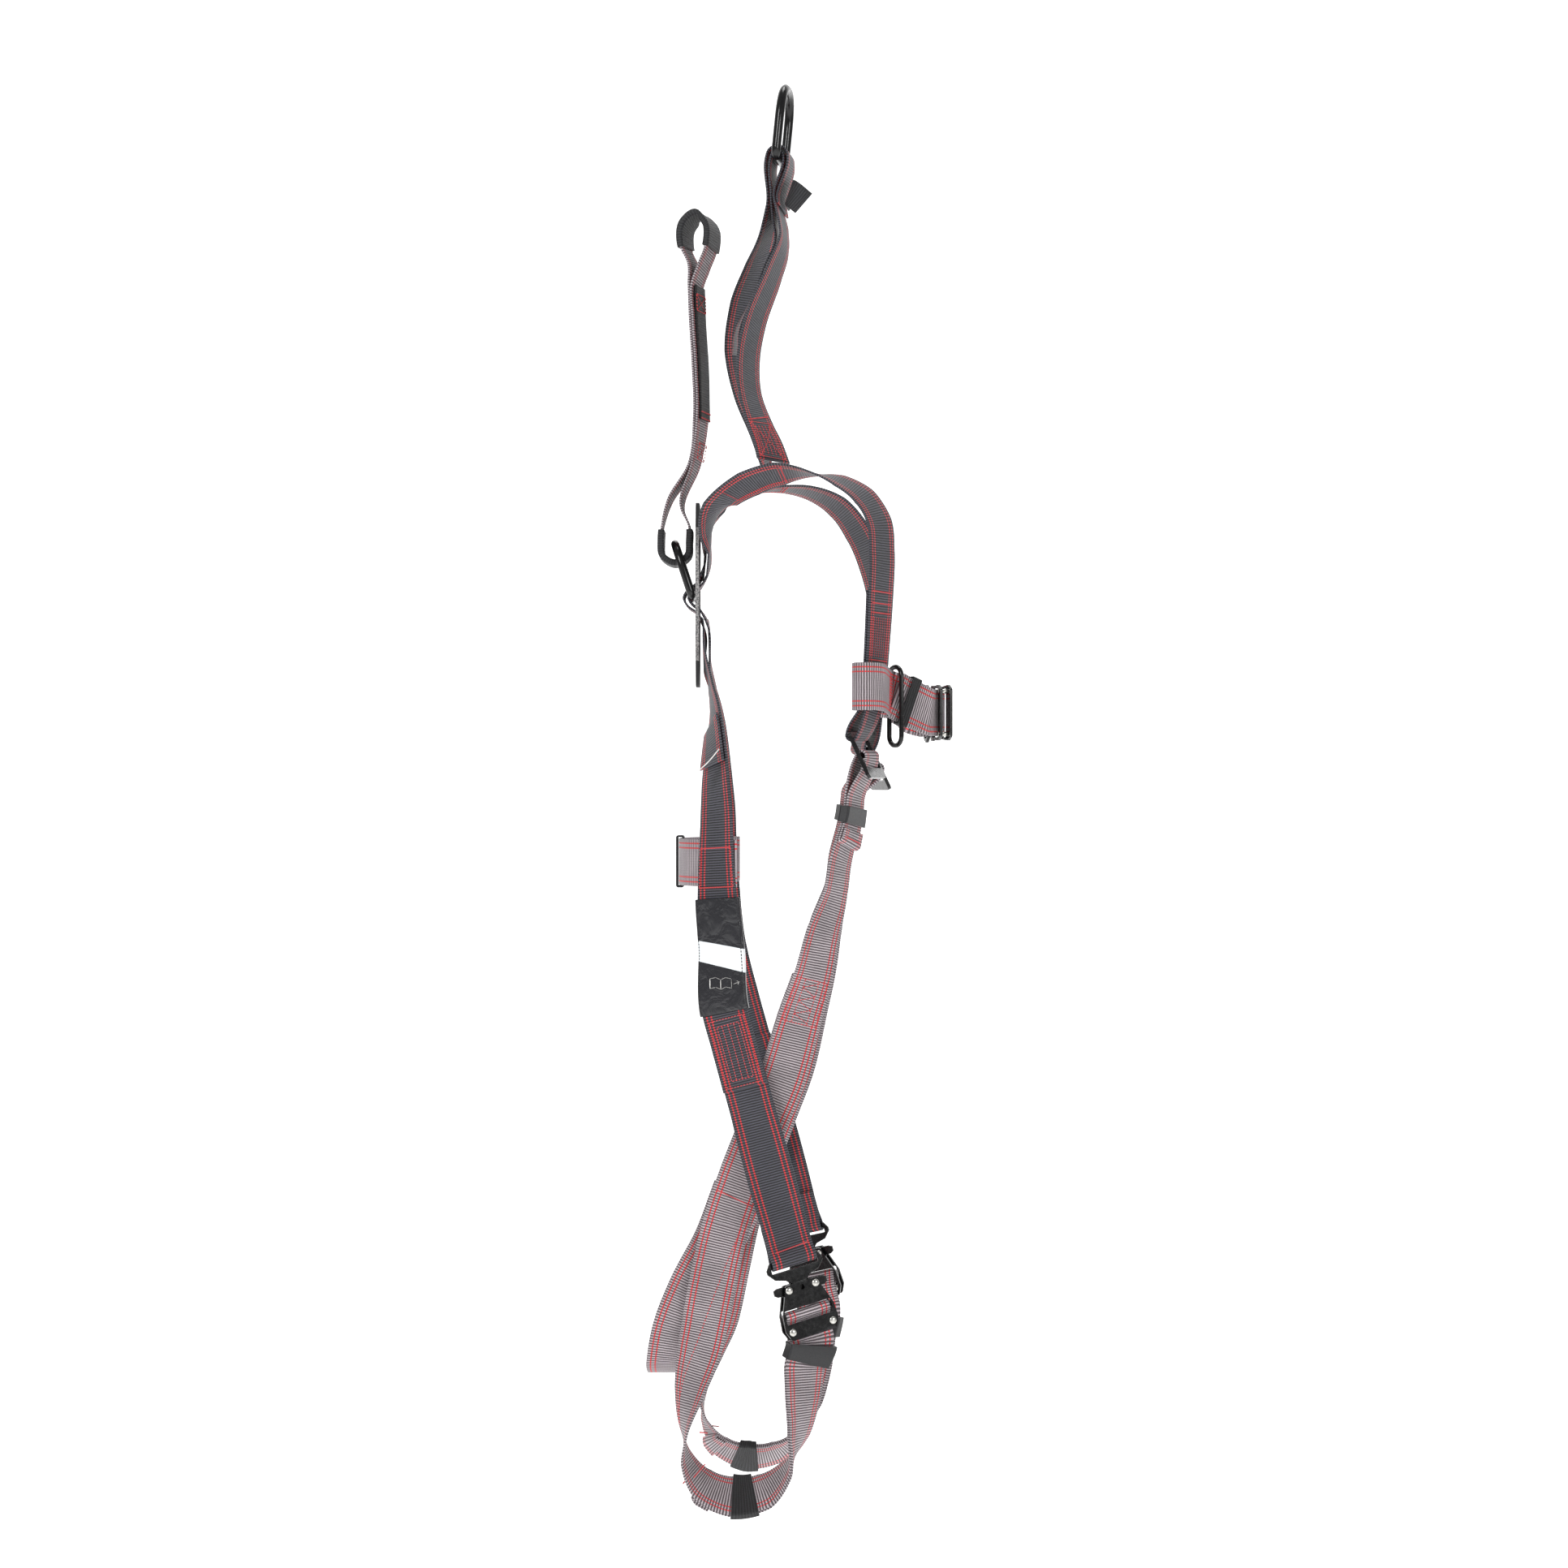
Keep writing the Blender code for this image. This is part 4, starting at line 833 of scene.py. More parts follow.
def lifting_layers():
    """Right strap up, over the ring's bar and down as the middle layer; left strap outside it."""
    frame = lift_ring_frame()
    inner = RING_RADIUS + CLEAR + WEB_THICK / 2
    right = [(-10, -70, -362, -40), (-15, -64, -345, -36), (-24, -58, -323, -32), (-33, -50, -292, -28),
             (-34, -42, -259, -28), (-27, -34, -223, -26), (-9, -24, -175, -20), (0, -16, -146, -12),
             (-2, -8, -122, -12), (-5.8, -2, -104, -12)]
    middle = [(-8.3, 0, -104, 12), (-8, 1, -122, 8), (-7, 1, -144, 4), (-18, 1, -167, 0),
              (-33, 1, -202, -4), (-45, 3, -229, -8), (-47, 6, -252, -10)]
    left = [(-16, 74, -358, -14), (-27, 68, -320, -20), (-40, 59, -281, -28), (-45, 53, -242, -36),
            (-38, 48, -196, -38), (-24, 34, -155, -28), (-14.5, 9, -123, -14), (-11.8, 2, -104, -12)]
    tail = [(-2.4, 0, -104, 12), (-1.5, -2, -112, 12)]
    over_right = round_bar(frame, (0, 0), inner, 90, -90)
    over_left = round_bar(frame, (0, 0), inner + PLATE_LAYER, -90, 90)
    return smooth(resolve(right + over_right + middle)), smooth(resolve(left + over_left + tail))

# %% Lifting assembly
forged_ring("lifting_ring", d_outline(RING_HALF_WIDTH, LIFT_RING_HEIGHT), RING_RADIUS,
            lift_ring_frame(), ROOT, 0.35)
lift_right, lift_left = lifting_layers()
strap("lifting_strap_right", lift_right, dark_polyester)
strap("lifting_strap_left", lift_left, dark_polyester)
neck = track_of(lift_right)
join = reach_at(neck, -319)
both_faces("neck_stitches", neck, [tack(join, 17, 3)] + box_x(3, join - 5, 17) + rows(6, join - 8, 5, 11))
far_neck = track_of(lift_left)
both_faces("far_neck_stitches", far_neck, box_x(3, reach_at(far_neck, -317), 17))
lean = Vector((-0.32, 0, -0.95))
tab_route = smooth([(at(x, y, z), lean) for x, y, z in ((8.4, 16, -98), (6.6, -6, -98), (6.2, -22, -98),
                                                        (10, -28, -102), (19, -30, -110))])
strap("stow_tab", tab_route, black_binding, width=25)

# %% [markdown]
# ## Dorsal ring, extension and plate
#
# Webbing of one closed loop makes an eye at the top and another round the dorsal ring's bow.
# Black fabric sleeves guard both eyes, and a strip of hook tape parks the end on the strap.

# %% Extension
def extension_side(height):
    """Width direction of the extension strap, which turns a little above the dorsal ring."""
    turn = EXTENSION_TURN * min(max((height - 20) / 80, 0), 1)
    return Vector((math.sin(turn), math.cos(turn), 0))


def in_order(chosen, route):
    """Pairs picked from a closed route, starting after the gap between them."""
    kept = [any(pair is other for other in chosen) for pair in route]
    start = next(i for i in range(len(route)) if kept[i] and not kept[i - 1])
    turned = route[start:] + route[:start]
    return [pair for pair in turned if any(pair is other for other in chosen)]

bow = dorsal_ring_frame() @ Vector((0, DORSAL_RING_HEIGHT, 0))
low_eye = [(14, 16), (14, 2), (12.5, -12), (0, -19), (-12, -12), (-13.5, 2), (-12, 18), (-6, 40)]
spine = [(20, 78), (26, 120), (25, 170), (22, 220), (21, 250)]
high_eye = [(28, 270), (35, 290), (34, 310), (23, 319), (12, 310), (10, 290), (18, 270)]
left_side = [(x - 2.6, z) for x, z in reversed(spine)]
right_side = [(7, 34)] + spine
places = low_eye[3:] + left_side[::-1] + high_eye[::-1] + right_side[::-1] + low_eye[:3]
extension_route = smooth([(bow + Vector((x, 0, z)), extension_side(z)) for x, z in places], closed=True)
strap("extension_strap", extension_route, grey_polyester, "extension", closed=True)
for which, part in (("lower", [p for p in extension_route if p[0].z < bow.z + 14]),
                    ("upper", [p for p in extension_route if p[0].z > bow.z + 287])):
    sleeve("extension_sleeve_" + which, in_order(part, extension_route), black_binding,
           WEB_THICK, SLEEVE_WALL, body="extension")
patch_route = smooth([(bow + Vector((x + LAYER + 0.3, 0, z)), extension_side(z)) for x, z in spine[1:]])
strap("extension_patch", patch_route, black_elastic, "extension", width=36)
patch_track = track_of(patch_route)
extension_track = track_of(smooth([(bow + Vector((x, 0, z)), extension_side(z)) for x, z in spine]))
sew("extension_stitches", extension_track, [tack(44), tack(50)] + box_x(4, 20) + box_x(148, 164), -3.9,
    "extension")
sew("extension_near_stitches", extension_track, box_x(4, 20), 1.1, "extension")
sew("patch_stitches", patch_track, [box(3, 120, 16)], 1.0, "extension", material=black_thread)

# %% Dorsal plate and ring
forged_ring("dorsal_ring", d_outline(RING_HALF_WIDTH, DORSAL_RING_HEIGHT), DORSAL_ROD,
            dorsal_ring_frame(), "dorsal_ring", 0.1, BAR_RADIUS)


def slab(outlines, low, high):
    """A bmesh plate between two heights; the first outline is its rim, the rest are its holes."""
    bm = bmesh.new()
    for outline in outlines:
        verts = [bm.verts.new((x, y, low)) for x, y in outline]
        for k in range(len(verts)):
            bm.edges.new((verts[k - 1], verts[k]))
    bmesh.ops.triangle_fill(bm, use_beauty=True, use_dissolve=False, edges=bm.edges)
    extruded = bmesh.ops.extrude_face_region(bm, geom=bm.faces)
    moved = [item for item in extruded["geom"] if isinstance(item, bmesh.types.BMVert)]
    bmesh.ops.translate(bm, verts=moved, vec=(0, 0, high - low))
    return bm


plate_frame = flat_frame(DORSAL_BAR + Vector((BAR_RADIUS + 0.4 + PLATE_THICK / 2, 0, 3)), 0, 0)
half, high = PLATE_WIDTH / 2, PLATE_HEIGHT / 2
plate_corners = both_sides([(22, -high), (half - 6, -high * 0.45), (half - 10, 0), (half, high * 0.5),
                            (26, high)])
plate_window = rectangle(-SLOT_HALF - 3, -3 - WINDOW_HEIGHT / 2, SLOT_HALF + 3, -3 + WINDOW_HEIGHT / 2, 4)
plate = slab([rounded(plate_corners, 9), plate_window], -PLATE_THICK / 2, PLATE_THICK / 2)
bmesh.ops.transform(plate, matrix=plate_frame, verts=plate.verts)
bmesh.ops.recalc_face_normals(plate, faces=plate.faces)
finished("dorsal_plate_moulding", plate, speckled_plate, ROOT, ["dorsal_plate"], 1.0)

# %% [markdown]
# ## Quick-release buckles
#
# Two stamped plates, riveted together, hold a bar for the webbing and two levers whose hooks
# catch the tongue.  The plates are rebuilt with fine arcs and soft edges, and each rivet gets
# its own domed nickel head.

# %% Buckle outlines
ROLL_Y = -6.0                # bar that the webbing rolls over
TONGUE_BAR_Y = 44.0          # bar of the tongue, where the other strap is sewn
TONGUE_BAR_HEIGHT = 5.0
LEVER_PIVOT = (13.6, 18.0)
LEVER_TIP = 8.4              # how near a lever's hook comes to the buckle's middle line
LOWER_RIVET = (20.6, -20.5)
BLADE_HALF = 8.0
PLATE_INNER = BUCKLE_THROAT / 2
PLATE_OUTER = PLATE_INNER + BUCKLE_PLATE
ROLL_RADIUS = BUCKLE_BAR + CLEAR + WEB_THICK / 2
BACK_LAYER = PLATE_OUTER + CLEAR + 0.3 + WEB_THICK / 2
def plate_outline():
    """Outline of a buckle's plates."""
    low = -BUCKLE_LENGTH / 2 - 2.5
    high = low + BUCKLE_LENGTH
    wide = BUCKLE_HALF_WIDTH
    corners = both_sides([(wide - 4, low), (wide, low + 9), (wide - 1, low + 24),
                          (wide - 8, high - 9), (wide - 11, high)])
    return rounded(corners, 2.5, 2)


def tongue_outline():
    """Blade that flares behind the levers' hooks, then the frame that holds the webbing."""
    flare = 1.1
    frame_low = BUCKLE_LENGTH / 2 - 2.5 + 4.0
    frame_half = SLOT_HALF + 4.6
    top = TONGUE_BAR_Y + TONGUE_BAR_HEIGHT / 2
    half = [(BLADE_HALF + flare - 1, 0.3), (BLADE_HALF + flare, 1.2), (BLADE_HALF, 5.5),
            (BLADE_HALF, frame_low - 4), (BLADE_HALF + 4, frame_low), (frame_half - 6, frame_low + 3),
            (frame_half, frame_low + 10), (frame_half, top - 6), (frame_half - 4, top)]
    return both_sides(half)


def tongue_slot():
    """Slot of the tongue, under its bar."""
    high = TONGUE_BAR_Y - TONGUE_BAR_HEIGHT / 2
    return rectangle(-SLOT_HALF, high - WEB_THICK - 3.2, SLOT_HALF, high, 1.0)


def lever_outline():
    """Latch lever on the right: an ear outside the plates, a hook that rests on the blade."""
    ear = BUCKLE_HALF_WIDTH
    return [(LEVER_TIP, 5.2), (LEVER_TIP, 8.6), (9.6, 11), (9.6, 21), (17, 22.4), (ear - 4, 22.4),
            (ear, 21), (ear, 16), (ear - 3, 14), (19.5, 14), (16.5, 8), (12.5, 3.2)]


def tongue_roll(frame):
    """Webbing round the tongue's bar: down its front, through the slot and up behind."""
    radius = math.hypot(TONGUE_BAR_HEIGHT, TONGUE_THICK) / 2 + CLEAR + WEB_THICK / 2
    return round_bar(frame, (TONGUE_BAR_Y, 0), radius, 90, 270)


def buckle_roll(frame):
    """Webbing from behind the buckle, over its bar, and back out behind."""
    return round_bar(frame, (ROLL_Y, 0), ROLL_RADIUS, 295, 496, 10)


# %% One buckle
def placed(bm, matrix):
    """Put a mesh at its place, with its faces turned outwards."""
    bmesh.ops.transform(bm, matrix=matrix, verts=bm.verts)
    bmesh.ops.recalc_face_normals(bm, faces=bm.faces)
    return bm


def buckle_bar(matrix):
    """The round bar across the back plate and the foot under each of its ends."""
    bm = bmesh.new()
    foot = SLOT_HALF + 1.0
    bmesh.ops.create_cone(bm, cap_ends=True, segments=24, radius1=BUCKLE_BAR, radius2=BUCKLE_BAR,
                          depth=2 * foot + 1.6, matrix=Matrix.Translation((0, ROLL_Y, 0))
                          @ Matrix.Rotation(math.pi / 2, 4, "Y"))
    for side in (1, -1):
        height = PLATE_OUTER + BUCKLE_BAR - 0.6
        post = Matrix.Translation((side * foot, ROLL_Y, (BUCKLE_BAR - PLATE_OUTER + 0.6) / 2))
        bmesh.ops.create_cube(bm, size=1, matrix=post @ Matrix.Diagonal((1.6, 2 * BUCKLE_BAR + 1, height, 1)))
    return placed(bm, matrix)


def rivet_heads(matrix):
    """Domed heads on the front plate, on shanks that go through to the back plate."""
    bm = bmesh.new()
    for x, y in [(x * side, y) for x, y in (LEVER_PIVOT, LOWER_RIVET) for side in (1, -1)]:
        shank = Matrix.Translation((x, y, 0.2))
        bmesh.ops.create_cone(bm, cap_ends=True, segments=20, radius1=RIVET_RADIUS, radius2=RIVET_RADIUS,
                              depth=2 * PLATE_OUTER, matrix=shank)
        dome = Matrix.Translation((x, y, PLATE_OUTER + 0.3)) @ Matrix.Diagonal((1, 1, 0.42, 1))
        bmesh.ops.create_uvsphere(bm, u_segments=20, v_segments=12, radius=RIVET_HEAD, matrix=dome)
        foot = Matrix.Translation((x, y, -PLATE_OUTER + 0.1)) @ Matrix.Diagonal((1, 1, 0.25, 1))
        bmesh.ops.create_uvsphere(bm, u_segments=20, v_segments=8, radius=RIVET_HEAD * 0.8, matrix=foot)
    return placed(bm, matrix)


def buckle(prefix, matrix, tongue_body, lever_bodies):
    """All the pieces of one quick-release buckle."""
    rivets = [(x * side, y) for x, y in (LEVER_PIVOT, LOWER_RIVET) for side in (1, -1)]
    holes = [disc(x, y, RIVET_RADIUS + 0.4, 16) for x, y in rivets]
    window = rectangle(-SLOT_HALF, ROLL_Y - ROLL_RADIUS - 3.2, SLOT_HALF, ROLL_Y + ROLL_RADIUS + 2.4)
    front = slab([plate_outline(), window, disc(0, LEVER_PIVOT[1], 2.6)] + holes, PLATE_INNER, PLATE_OUTER)
    finished(prefix + "_front_stamping", placed(front, matrix), black_coat, ROOT,
             [prefix + "_front_plate"], 0.8)
    back_window = rectangle(-SLOT_HALF, ROLL_Y - 13.8, SLOT_HALF, ROLL_Y + ROLL_RADIUS + 2.4)
    back = slab([plate_outline(), back_window], -PLATE_OUTER, -PLATE_INNER)
    finished(prefix + "_back_stamping", placed(back, matrix), black_coat, ROOT,
             [prefix + "_back_plate"], 0.8)
    finished(prefix + "_bar", buckle_bar(matrix), black_coat, ROOT, (), 0.3)
    finished(prefix + "_rivets", rivet_heads(matrix), nickel, ROOT)
    tongue = slab([tongue_outline(), tongue_slot()], -TONGUE_THICK / 2, TONGUE_THICK / 2)
    finished(prefix + "_tongue_stamping", placed(tongue, matrix), black_coat, tongue_body,
             [prefix + "_tongue"], 0.7)
    for side, letter, body in ((1, "a", lever_bodies[0]), (-1, "b", lever_bodies[1])):
        outline = [(x * side, y) for x, y in lever_outline()]
        hole = disc(LEVER_PIVOT[0] * side, LEVER_PIVOT[1], RIVET_RADIUS + 0.4, 16)
        lever = slab([outline, hole], -1.4, 1.4)
        finished(prefix + "_latch_" + letter, placed(lever, matrix), black_coat, body,
                 [prefix + "_lever_" + letter], 0.4)


def leg_buckle_frame(side):
    """Frame of a leg buckle: the tongue points up and back, the face out and a little forward."""
    origin = at(20, -110, -1161) if side < 0 else at(29, 110, -1159)
    up = Vector((-0.262, -0.028 * side, 0.965)).normalized()
    facing = Vector((0.34, 0.94 * side, 0))
    facing = (facing - up * up.dot(facing)).normalized()
    return frame_at(origin, up.cross(facing), up, facing)


def chest_buckle_frame():
    """Frame of the chest buckle: the tongue points to the wearer's left."""
    yaw = math.radians(14)
    up = Vector((-math.sin(yaw), math.cos(yaw), 0))
    facing = Vector((math.cos(yaw), math.sin(yaw), 0))
    return frame_at(at(150, 0, -601), up.cross(facing), up, facing)


def adjuster_frame(side):
    """Frame of a slide adjuster: Y from its lip up to its top bar, Z out of its front."""
    origin = at(78, -88, -642) if side < 0 else at(87, 92, -653)
    return flat_frame(origin, -math.radians(17) * side, -math.radians(26))

# %% Three buckles
for name, side in (("right", -1), ("left", 1)):
    buckle("leg_buckle_" + name, leg_buckle_frame(side), name + "_leg_tongue",
           (name + "_leg_lever_a", name + "_leg_lever_b"))
buckle("chest_buckle", chest_buckle_frame(), ROOT, ("chest_lever_a", "chest_lever_b"))

# %% [markdown]
# ## Shoulder, front, hip and leg straps
#
# Dark webbing runs from each hip up through the plate, over the opposite shoulder and round the
# adjuster.  Grey webbing hangs from the adjuster, goes round the thigh and ends in the leg
# buckle.

# %% Stations of the straps
HIP = [(-59, -103, -826, 62), (-63, -102, -779, 57), (-64, -100, -742, 48), (-64, -96, -696, 42),
       (-65, -92, -665, 35), (-66, -78, -619, 20), (-69, -58, -588, 8), (-73, -42, -564, 4)]
SHOULDER_RIGHT = [(-70, -38, -417, -18), (-61, -55, -402, -28), (-34, -68, -384, -32),
                  (-5, -75, -375, -25), (26, -79, -375, 0), (53, -82, -382, 20), (76, -84, -397, 30),
                  (90, -86, -420, 33), (93, -87, -450, 33), (92, -88, -488, 32), (90, -88, -527, 30),
                  (88, -88, -558, 28), (86, -88, -588, 24)]
SHOULDER_LEFT = [(-70, 38, -414, 18), (-62, 55, -397, 10), (-34, 68, -382, 6), (2, 75, -377, -4),
                 (28, 79, -381, -14), (53, 82, -394, -26), (73, 84, -419, -32), (88, 86, -456, -30),
                 (95, 88, -492, -26), (96, 89, -530, -22), (95, 90, -565, -16), (92, 91, -598, -14)]
LAP_TURN = 74.0              # turn of both webbings where the hip strap laps the shoulder strap
LAP_GAP = 3.2                # from one webbing's middle to the other's, there
LAP_LOW, LAP_HIGH, LAP_TOP = 212.0, 258.0, 288.0   # distances from the buckle's middle, up the strap
HIP_STRAP_END = 249.0        # end of the hip strap, which leaves room for the tongue's travel
HIP_STRAP_BEND = 188.0       # straight above here, so that it slides along the shoulder strap
THIGH = [(66, -89, -680, 22), (64, -90, -700, 22), (60, -91, -719, 25), (54, -94, -742, 28),
         (49, -96, -773, 30), (37, -97, -811, 46), (28, -97, -850, 54), (15, -96, -892, 68),
         (-3, -93, -953, 84), (-23, -91, -1000, 90), (-41, -90, -1046, 90), (-57, -91, -1096, 90),
         (-69, -93, -1149, 94), (-80, -96, -1203, 110), (-91, -99, -1243, 140), (-97, -102, -1283, 172),
         (-94, -102, -1309, 192), (-79, -101, -1332, 212), (-50, -101, -1344, 222),
         (-18, -101, -1339, 215), (4, -102, -1318, 190), (15, -103, -1286, 155),
         (19, -103, -1250, 135), (20, -102, -1222, 125)]
SEAT = [(-45, -82, -1054), (-64, -81, -1104), (-88, -80, -1150), (-103, -78, -1189), (-109, -66, -1222),
        (-109, -38, -1235), (-109, 0, -1237)]

# %% Routes of the straps
def lap_pairs(side, out_share, *distances):
    """Pairs along the line up from a leg buckle, moved out of the webbing by a share of the gap."""
    frame = leg_buckle_frame(side)
    up = frame.to_3x3() @ Vector((0, 1, 0))
    width = width_direction(up, -LAP_TURN * side)
    out = up.cross(width)
    return [(frame.translation + up * d * LENGTH_RATIO + out * LAP_GAP * out_share, width)
            for d in distances]


def plate_pass(side):
    """A shoulder strap up past the dorsal plate: out round the ring's bar and back, crossing over."""
    places = [(13.5, -22, -56), (13.5, -9, -40), (12, 0, -25), (5.5, 0, -12.6), (-2.8, 0, -6.4),
              (-6.3, 0, 0), (-2.8, 0, 6.4), (5.5, 0, 12.6), (12, 0, 25), (13.5, 9, 40), (14.5, 20, 55)]
    points = [DORSAL_BAR + Vector((x, y * side, z)) for x, y, z in places]
    pairs = [(p, width_direction(t, 0)) for p, t in zip(points, tangents(points))]
    return beside(pairs, PLATE_LAYER / 2 * side)


def shoulder_strap(side):
    """From the hip up through the plate, over the shoulder, round the adjuster and back up."""
    hip = mirrored(HIP) if side < 0 else HIP
    stations = lap_pairs(-side, 1, LAP_LOW, LAP_HIGH, LAP_TOP) + hip + plate_pass(side)
    stations += SHOULDER_RIGHT if side < 0 else SHOULDER_LEFT
    main = smooth(resolve(stations))
    frame = adjuster_frame(side)
    radius = math.hypot(ADJUSTER_BAR, ADJUSTER_THICK) / 2 + CLEAR + WEB_THICK / 2
    loop = round_bar(frame, (20, 0), radius, 138, 318)
    front = main[len(main) * 2 // 3:]
    tail = beside(between(front, -487, -599), -LAYER)
    return smooth(main + loop + list(reversed(tail)))


def thigh_stations(side):
    """Stations of the grey webbing from the front keeper to below the leg buckle."""
    return THIGH if side < 0 else mirrored(THIGH, 13)


def thigh_route(side):
    """Middle line of the front strap and, below it, of the leg strap, from top to bottom."""
    return smooth(resolve(thigh_stations(side)))


def front_strap(side):
    """Up from the thigh, over the adjuster's middle bar, down to a folded end below the keeper."""
    down = between(thigh_route(side), -670, -1090)
    frame = adjuster_frame(side)
    radius = math.hypot(ADJUSTER_BAR, ADJUSTER_THICK) / 2 + CLEAR + WEB_THICK / 2
    over = round_bar(frame, (-2, 0), radius, -50, 130)
    tail = beside(between(down, -684, -730), LAYER)
    fold = beside(between(down, -712, -726), 2 * LAYER + 0.6)
    return smooth(list(reversed(down)) + over + tail + list(reversed(fold)))


def leg_layers(side):
    """Layers of the leg strap, and its main layer with the side that the others lie on."""
    route = thigh_route(side)
    start = next(i for i, pair in enumerate(route) if pair[0].z < -851 * LENGTH_RATIO)
    under = beside(route[start:], -LAYER - 0.2)
    frame = leg_buckle_frame(side)
    back = -BACK_LAYER - LAYER - 0.8
    main = smooth(under + on_frame(frame, (-34, back), (-27, back), (-19, back)))
    last = squared(main)[-1]
    facing = frame.to_3x3() @ Vector((0, 0, 1))
    outer = LAYER if last[2].dot(facing) > 0 else -LAYER
    low = [i for i, pair in enumerate(main) if pair[0].z < -1300 * LENGTH_RATIO]
    turn_back = next(i for i in low if pair_x(main[i]) > -78 and pair_z(main[i]) < -1320)
    second = trimmed(beside(main, outer)[turn_back:], 24)
    end = main[turn_back][0] + (main[turn_back + 1][0] - main[turn_back][0]).normalized() * 9
    third = beside(section(main, end, 12, 2), 2 * outer + math.copysign(0.6, outer))
    roll = buckle_roll(frame)
    roll += on_frame(frame, (-19, -BACK_LAYER), (-27, -BACK_LAYER - 0.4), (-34, -BACK_LAYER - 0.8))
    return smooth(main + roll + list(reversed(second)) + third), main, outer


def pair_x(pair):
    """Nominal X of a pair."""
    return pair[0].x / LENGTH_RATIO


def pair_z(pair):
    """Nominal Z of a pair."""
    return pair[0].z / LENGTH_RATIO


def hip_strap(side):
    """The strap end that carries the tongue: along the line up from the buckle, round its bar."""
    frame = leg_buckle_frame(side)
    lap = lap_pairs(side, 0, HIP_STRAP_END, LAP_LOW, HIP_STRAP_BEND)
    near = on_frame(frame, (72, LAYER / 2), (58, LAYER / 2 + 0.3))
    behind = on_frame(frame, (58, -LAYER / 2 - 0.3), (80, -LAYER / 2))
    return smooth(lap + near + tongue_roll(frame) + behind)


UPRIGHT = Vector((0, 0, 1))


def level(*places):
    """Pairs of a strap whose width stands upright."""
    return [(at(*place), UPRIGHT) for place in places]


def chest_strap_right():
    """Loop round the right shoulder strap, then over the buckle's bar and back to a folded end."""
    frame = chest_buckle_frame()
    loop = level((96, -58.5, -580), (92, -60.5, -580), (85, -62.4, -579), (66, -106, -578),
                 (68.5, -113, -578), (76, -117, -578), (85.6, -112.3, -578), (99.8, -72, -582))
    run = level((103, -59.5, -584), (109, -55.5, -587), (124, -47, -594), (137, -38, -600))
    roll = on_frame(frame, (-19, -BACK_LAYER - LAYER)) + buckle_roll(frame)
    main = smooth(loop + run + on_frame(frame, (-19, -BACK_LAYER - LAYER)))
    back = beside(smooth(level((105, -58, -585), (109, -55.5, -587), (124, -47, -594), (137, -38, -600))),
                  LAYER)
    fold = beside(smooth(level((105, -58, -585), (110, -55, -587.5))), 2 * LAYER + 0.4)
    tail = on_frame(frame, (-19, -BACK_LAYER)) + list(reversed(back)) + fold
    return smooth(main[:-1] + roll + tail), smooth(run)


def chest_strap_left():
    """Loop round the left shoulder strap, then through the tongue's slot and back."""
    frame = chest_buckle_frame()
    loop = level((106, 59.5, -583), (99, 63, -582), (92, 66.5, -581), (79, 110, -581),
                 (80.5, 116.5, -581), (86.5, 120, -581), (95, 116, -581), (105.5, 74, -583))
    run = level((110.5, 64.5, -585), (120, 60, -592), (131, 52, -599))
    behind = on_frame(frame, (54, -LAYER / 2 - 0.6)) + level((128.5, 49.5, -599), (118, 56.5, -591))
    return smooth(loop + run + on_frame(frame, (54, LAYER / 2 + 0.6)) + tongue_roll(frame) + behind)


def chest_ring_frame(run):
    """Frame of the chest ring, square to the strap it hangs on: Y up, its origin at its top."""
    point, _, out = squared(section(run, at(106, -57.5, -585), 4, 2))[1]
    top = point + UPRIGHT * (HALF_WEB + 2.5 + CHEST_ROD) + out * 1.2
    return frame_at(top, out, UPRIGHT, out.cross(UPRIGHT))

# %% Adjusters


def adjuster(side, name):
    """Slide adjuster: three bars in one flat plate, the lowest one standing for the lip, which is not turned
    up here.
    """
    half = SLOT_HALF + 4.5
    top = 20 + ADJUSTER_BAR / 2
    slots = [rectangle(-SLOT_HALF, -2 + ADJUSTER_BAR / 2, SLOT_HALF, 20 - ADJUSTER_BAR / 2, 1.2),
             rectangle(-SLOT_HALF, top - ADJUSTER_LENGTH + 10, SLOT_HALF, -2 - ADJUSTER_BAR / 2, 1.2)]
    rim = rectangle(-half, top - ADJUSTER_LENGTH, half, top, 4)
    bm = slab([rim] + slots, -ADJUSTER_THICK / 2, ADJUSTER_THICK / 2)
    finished(name + "_stamping", placed(bm, adjuster_frame(side)), black_coat, ROOT,
             [name], 1.2)


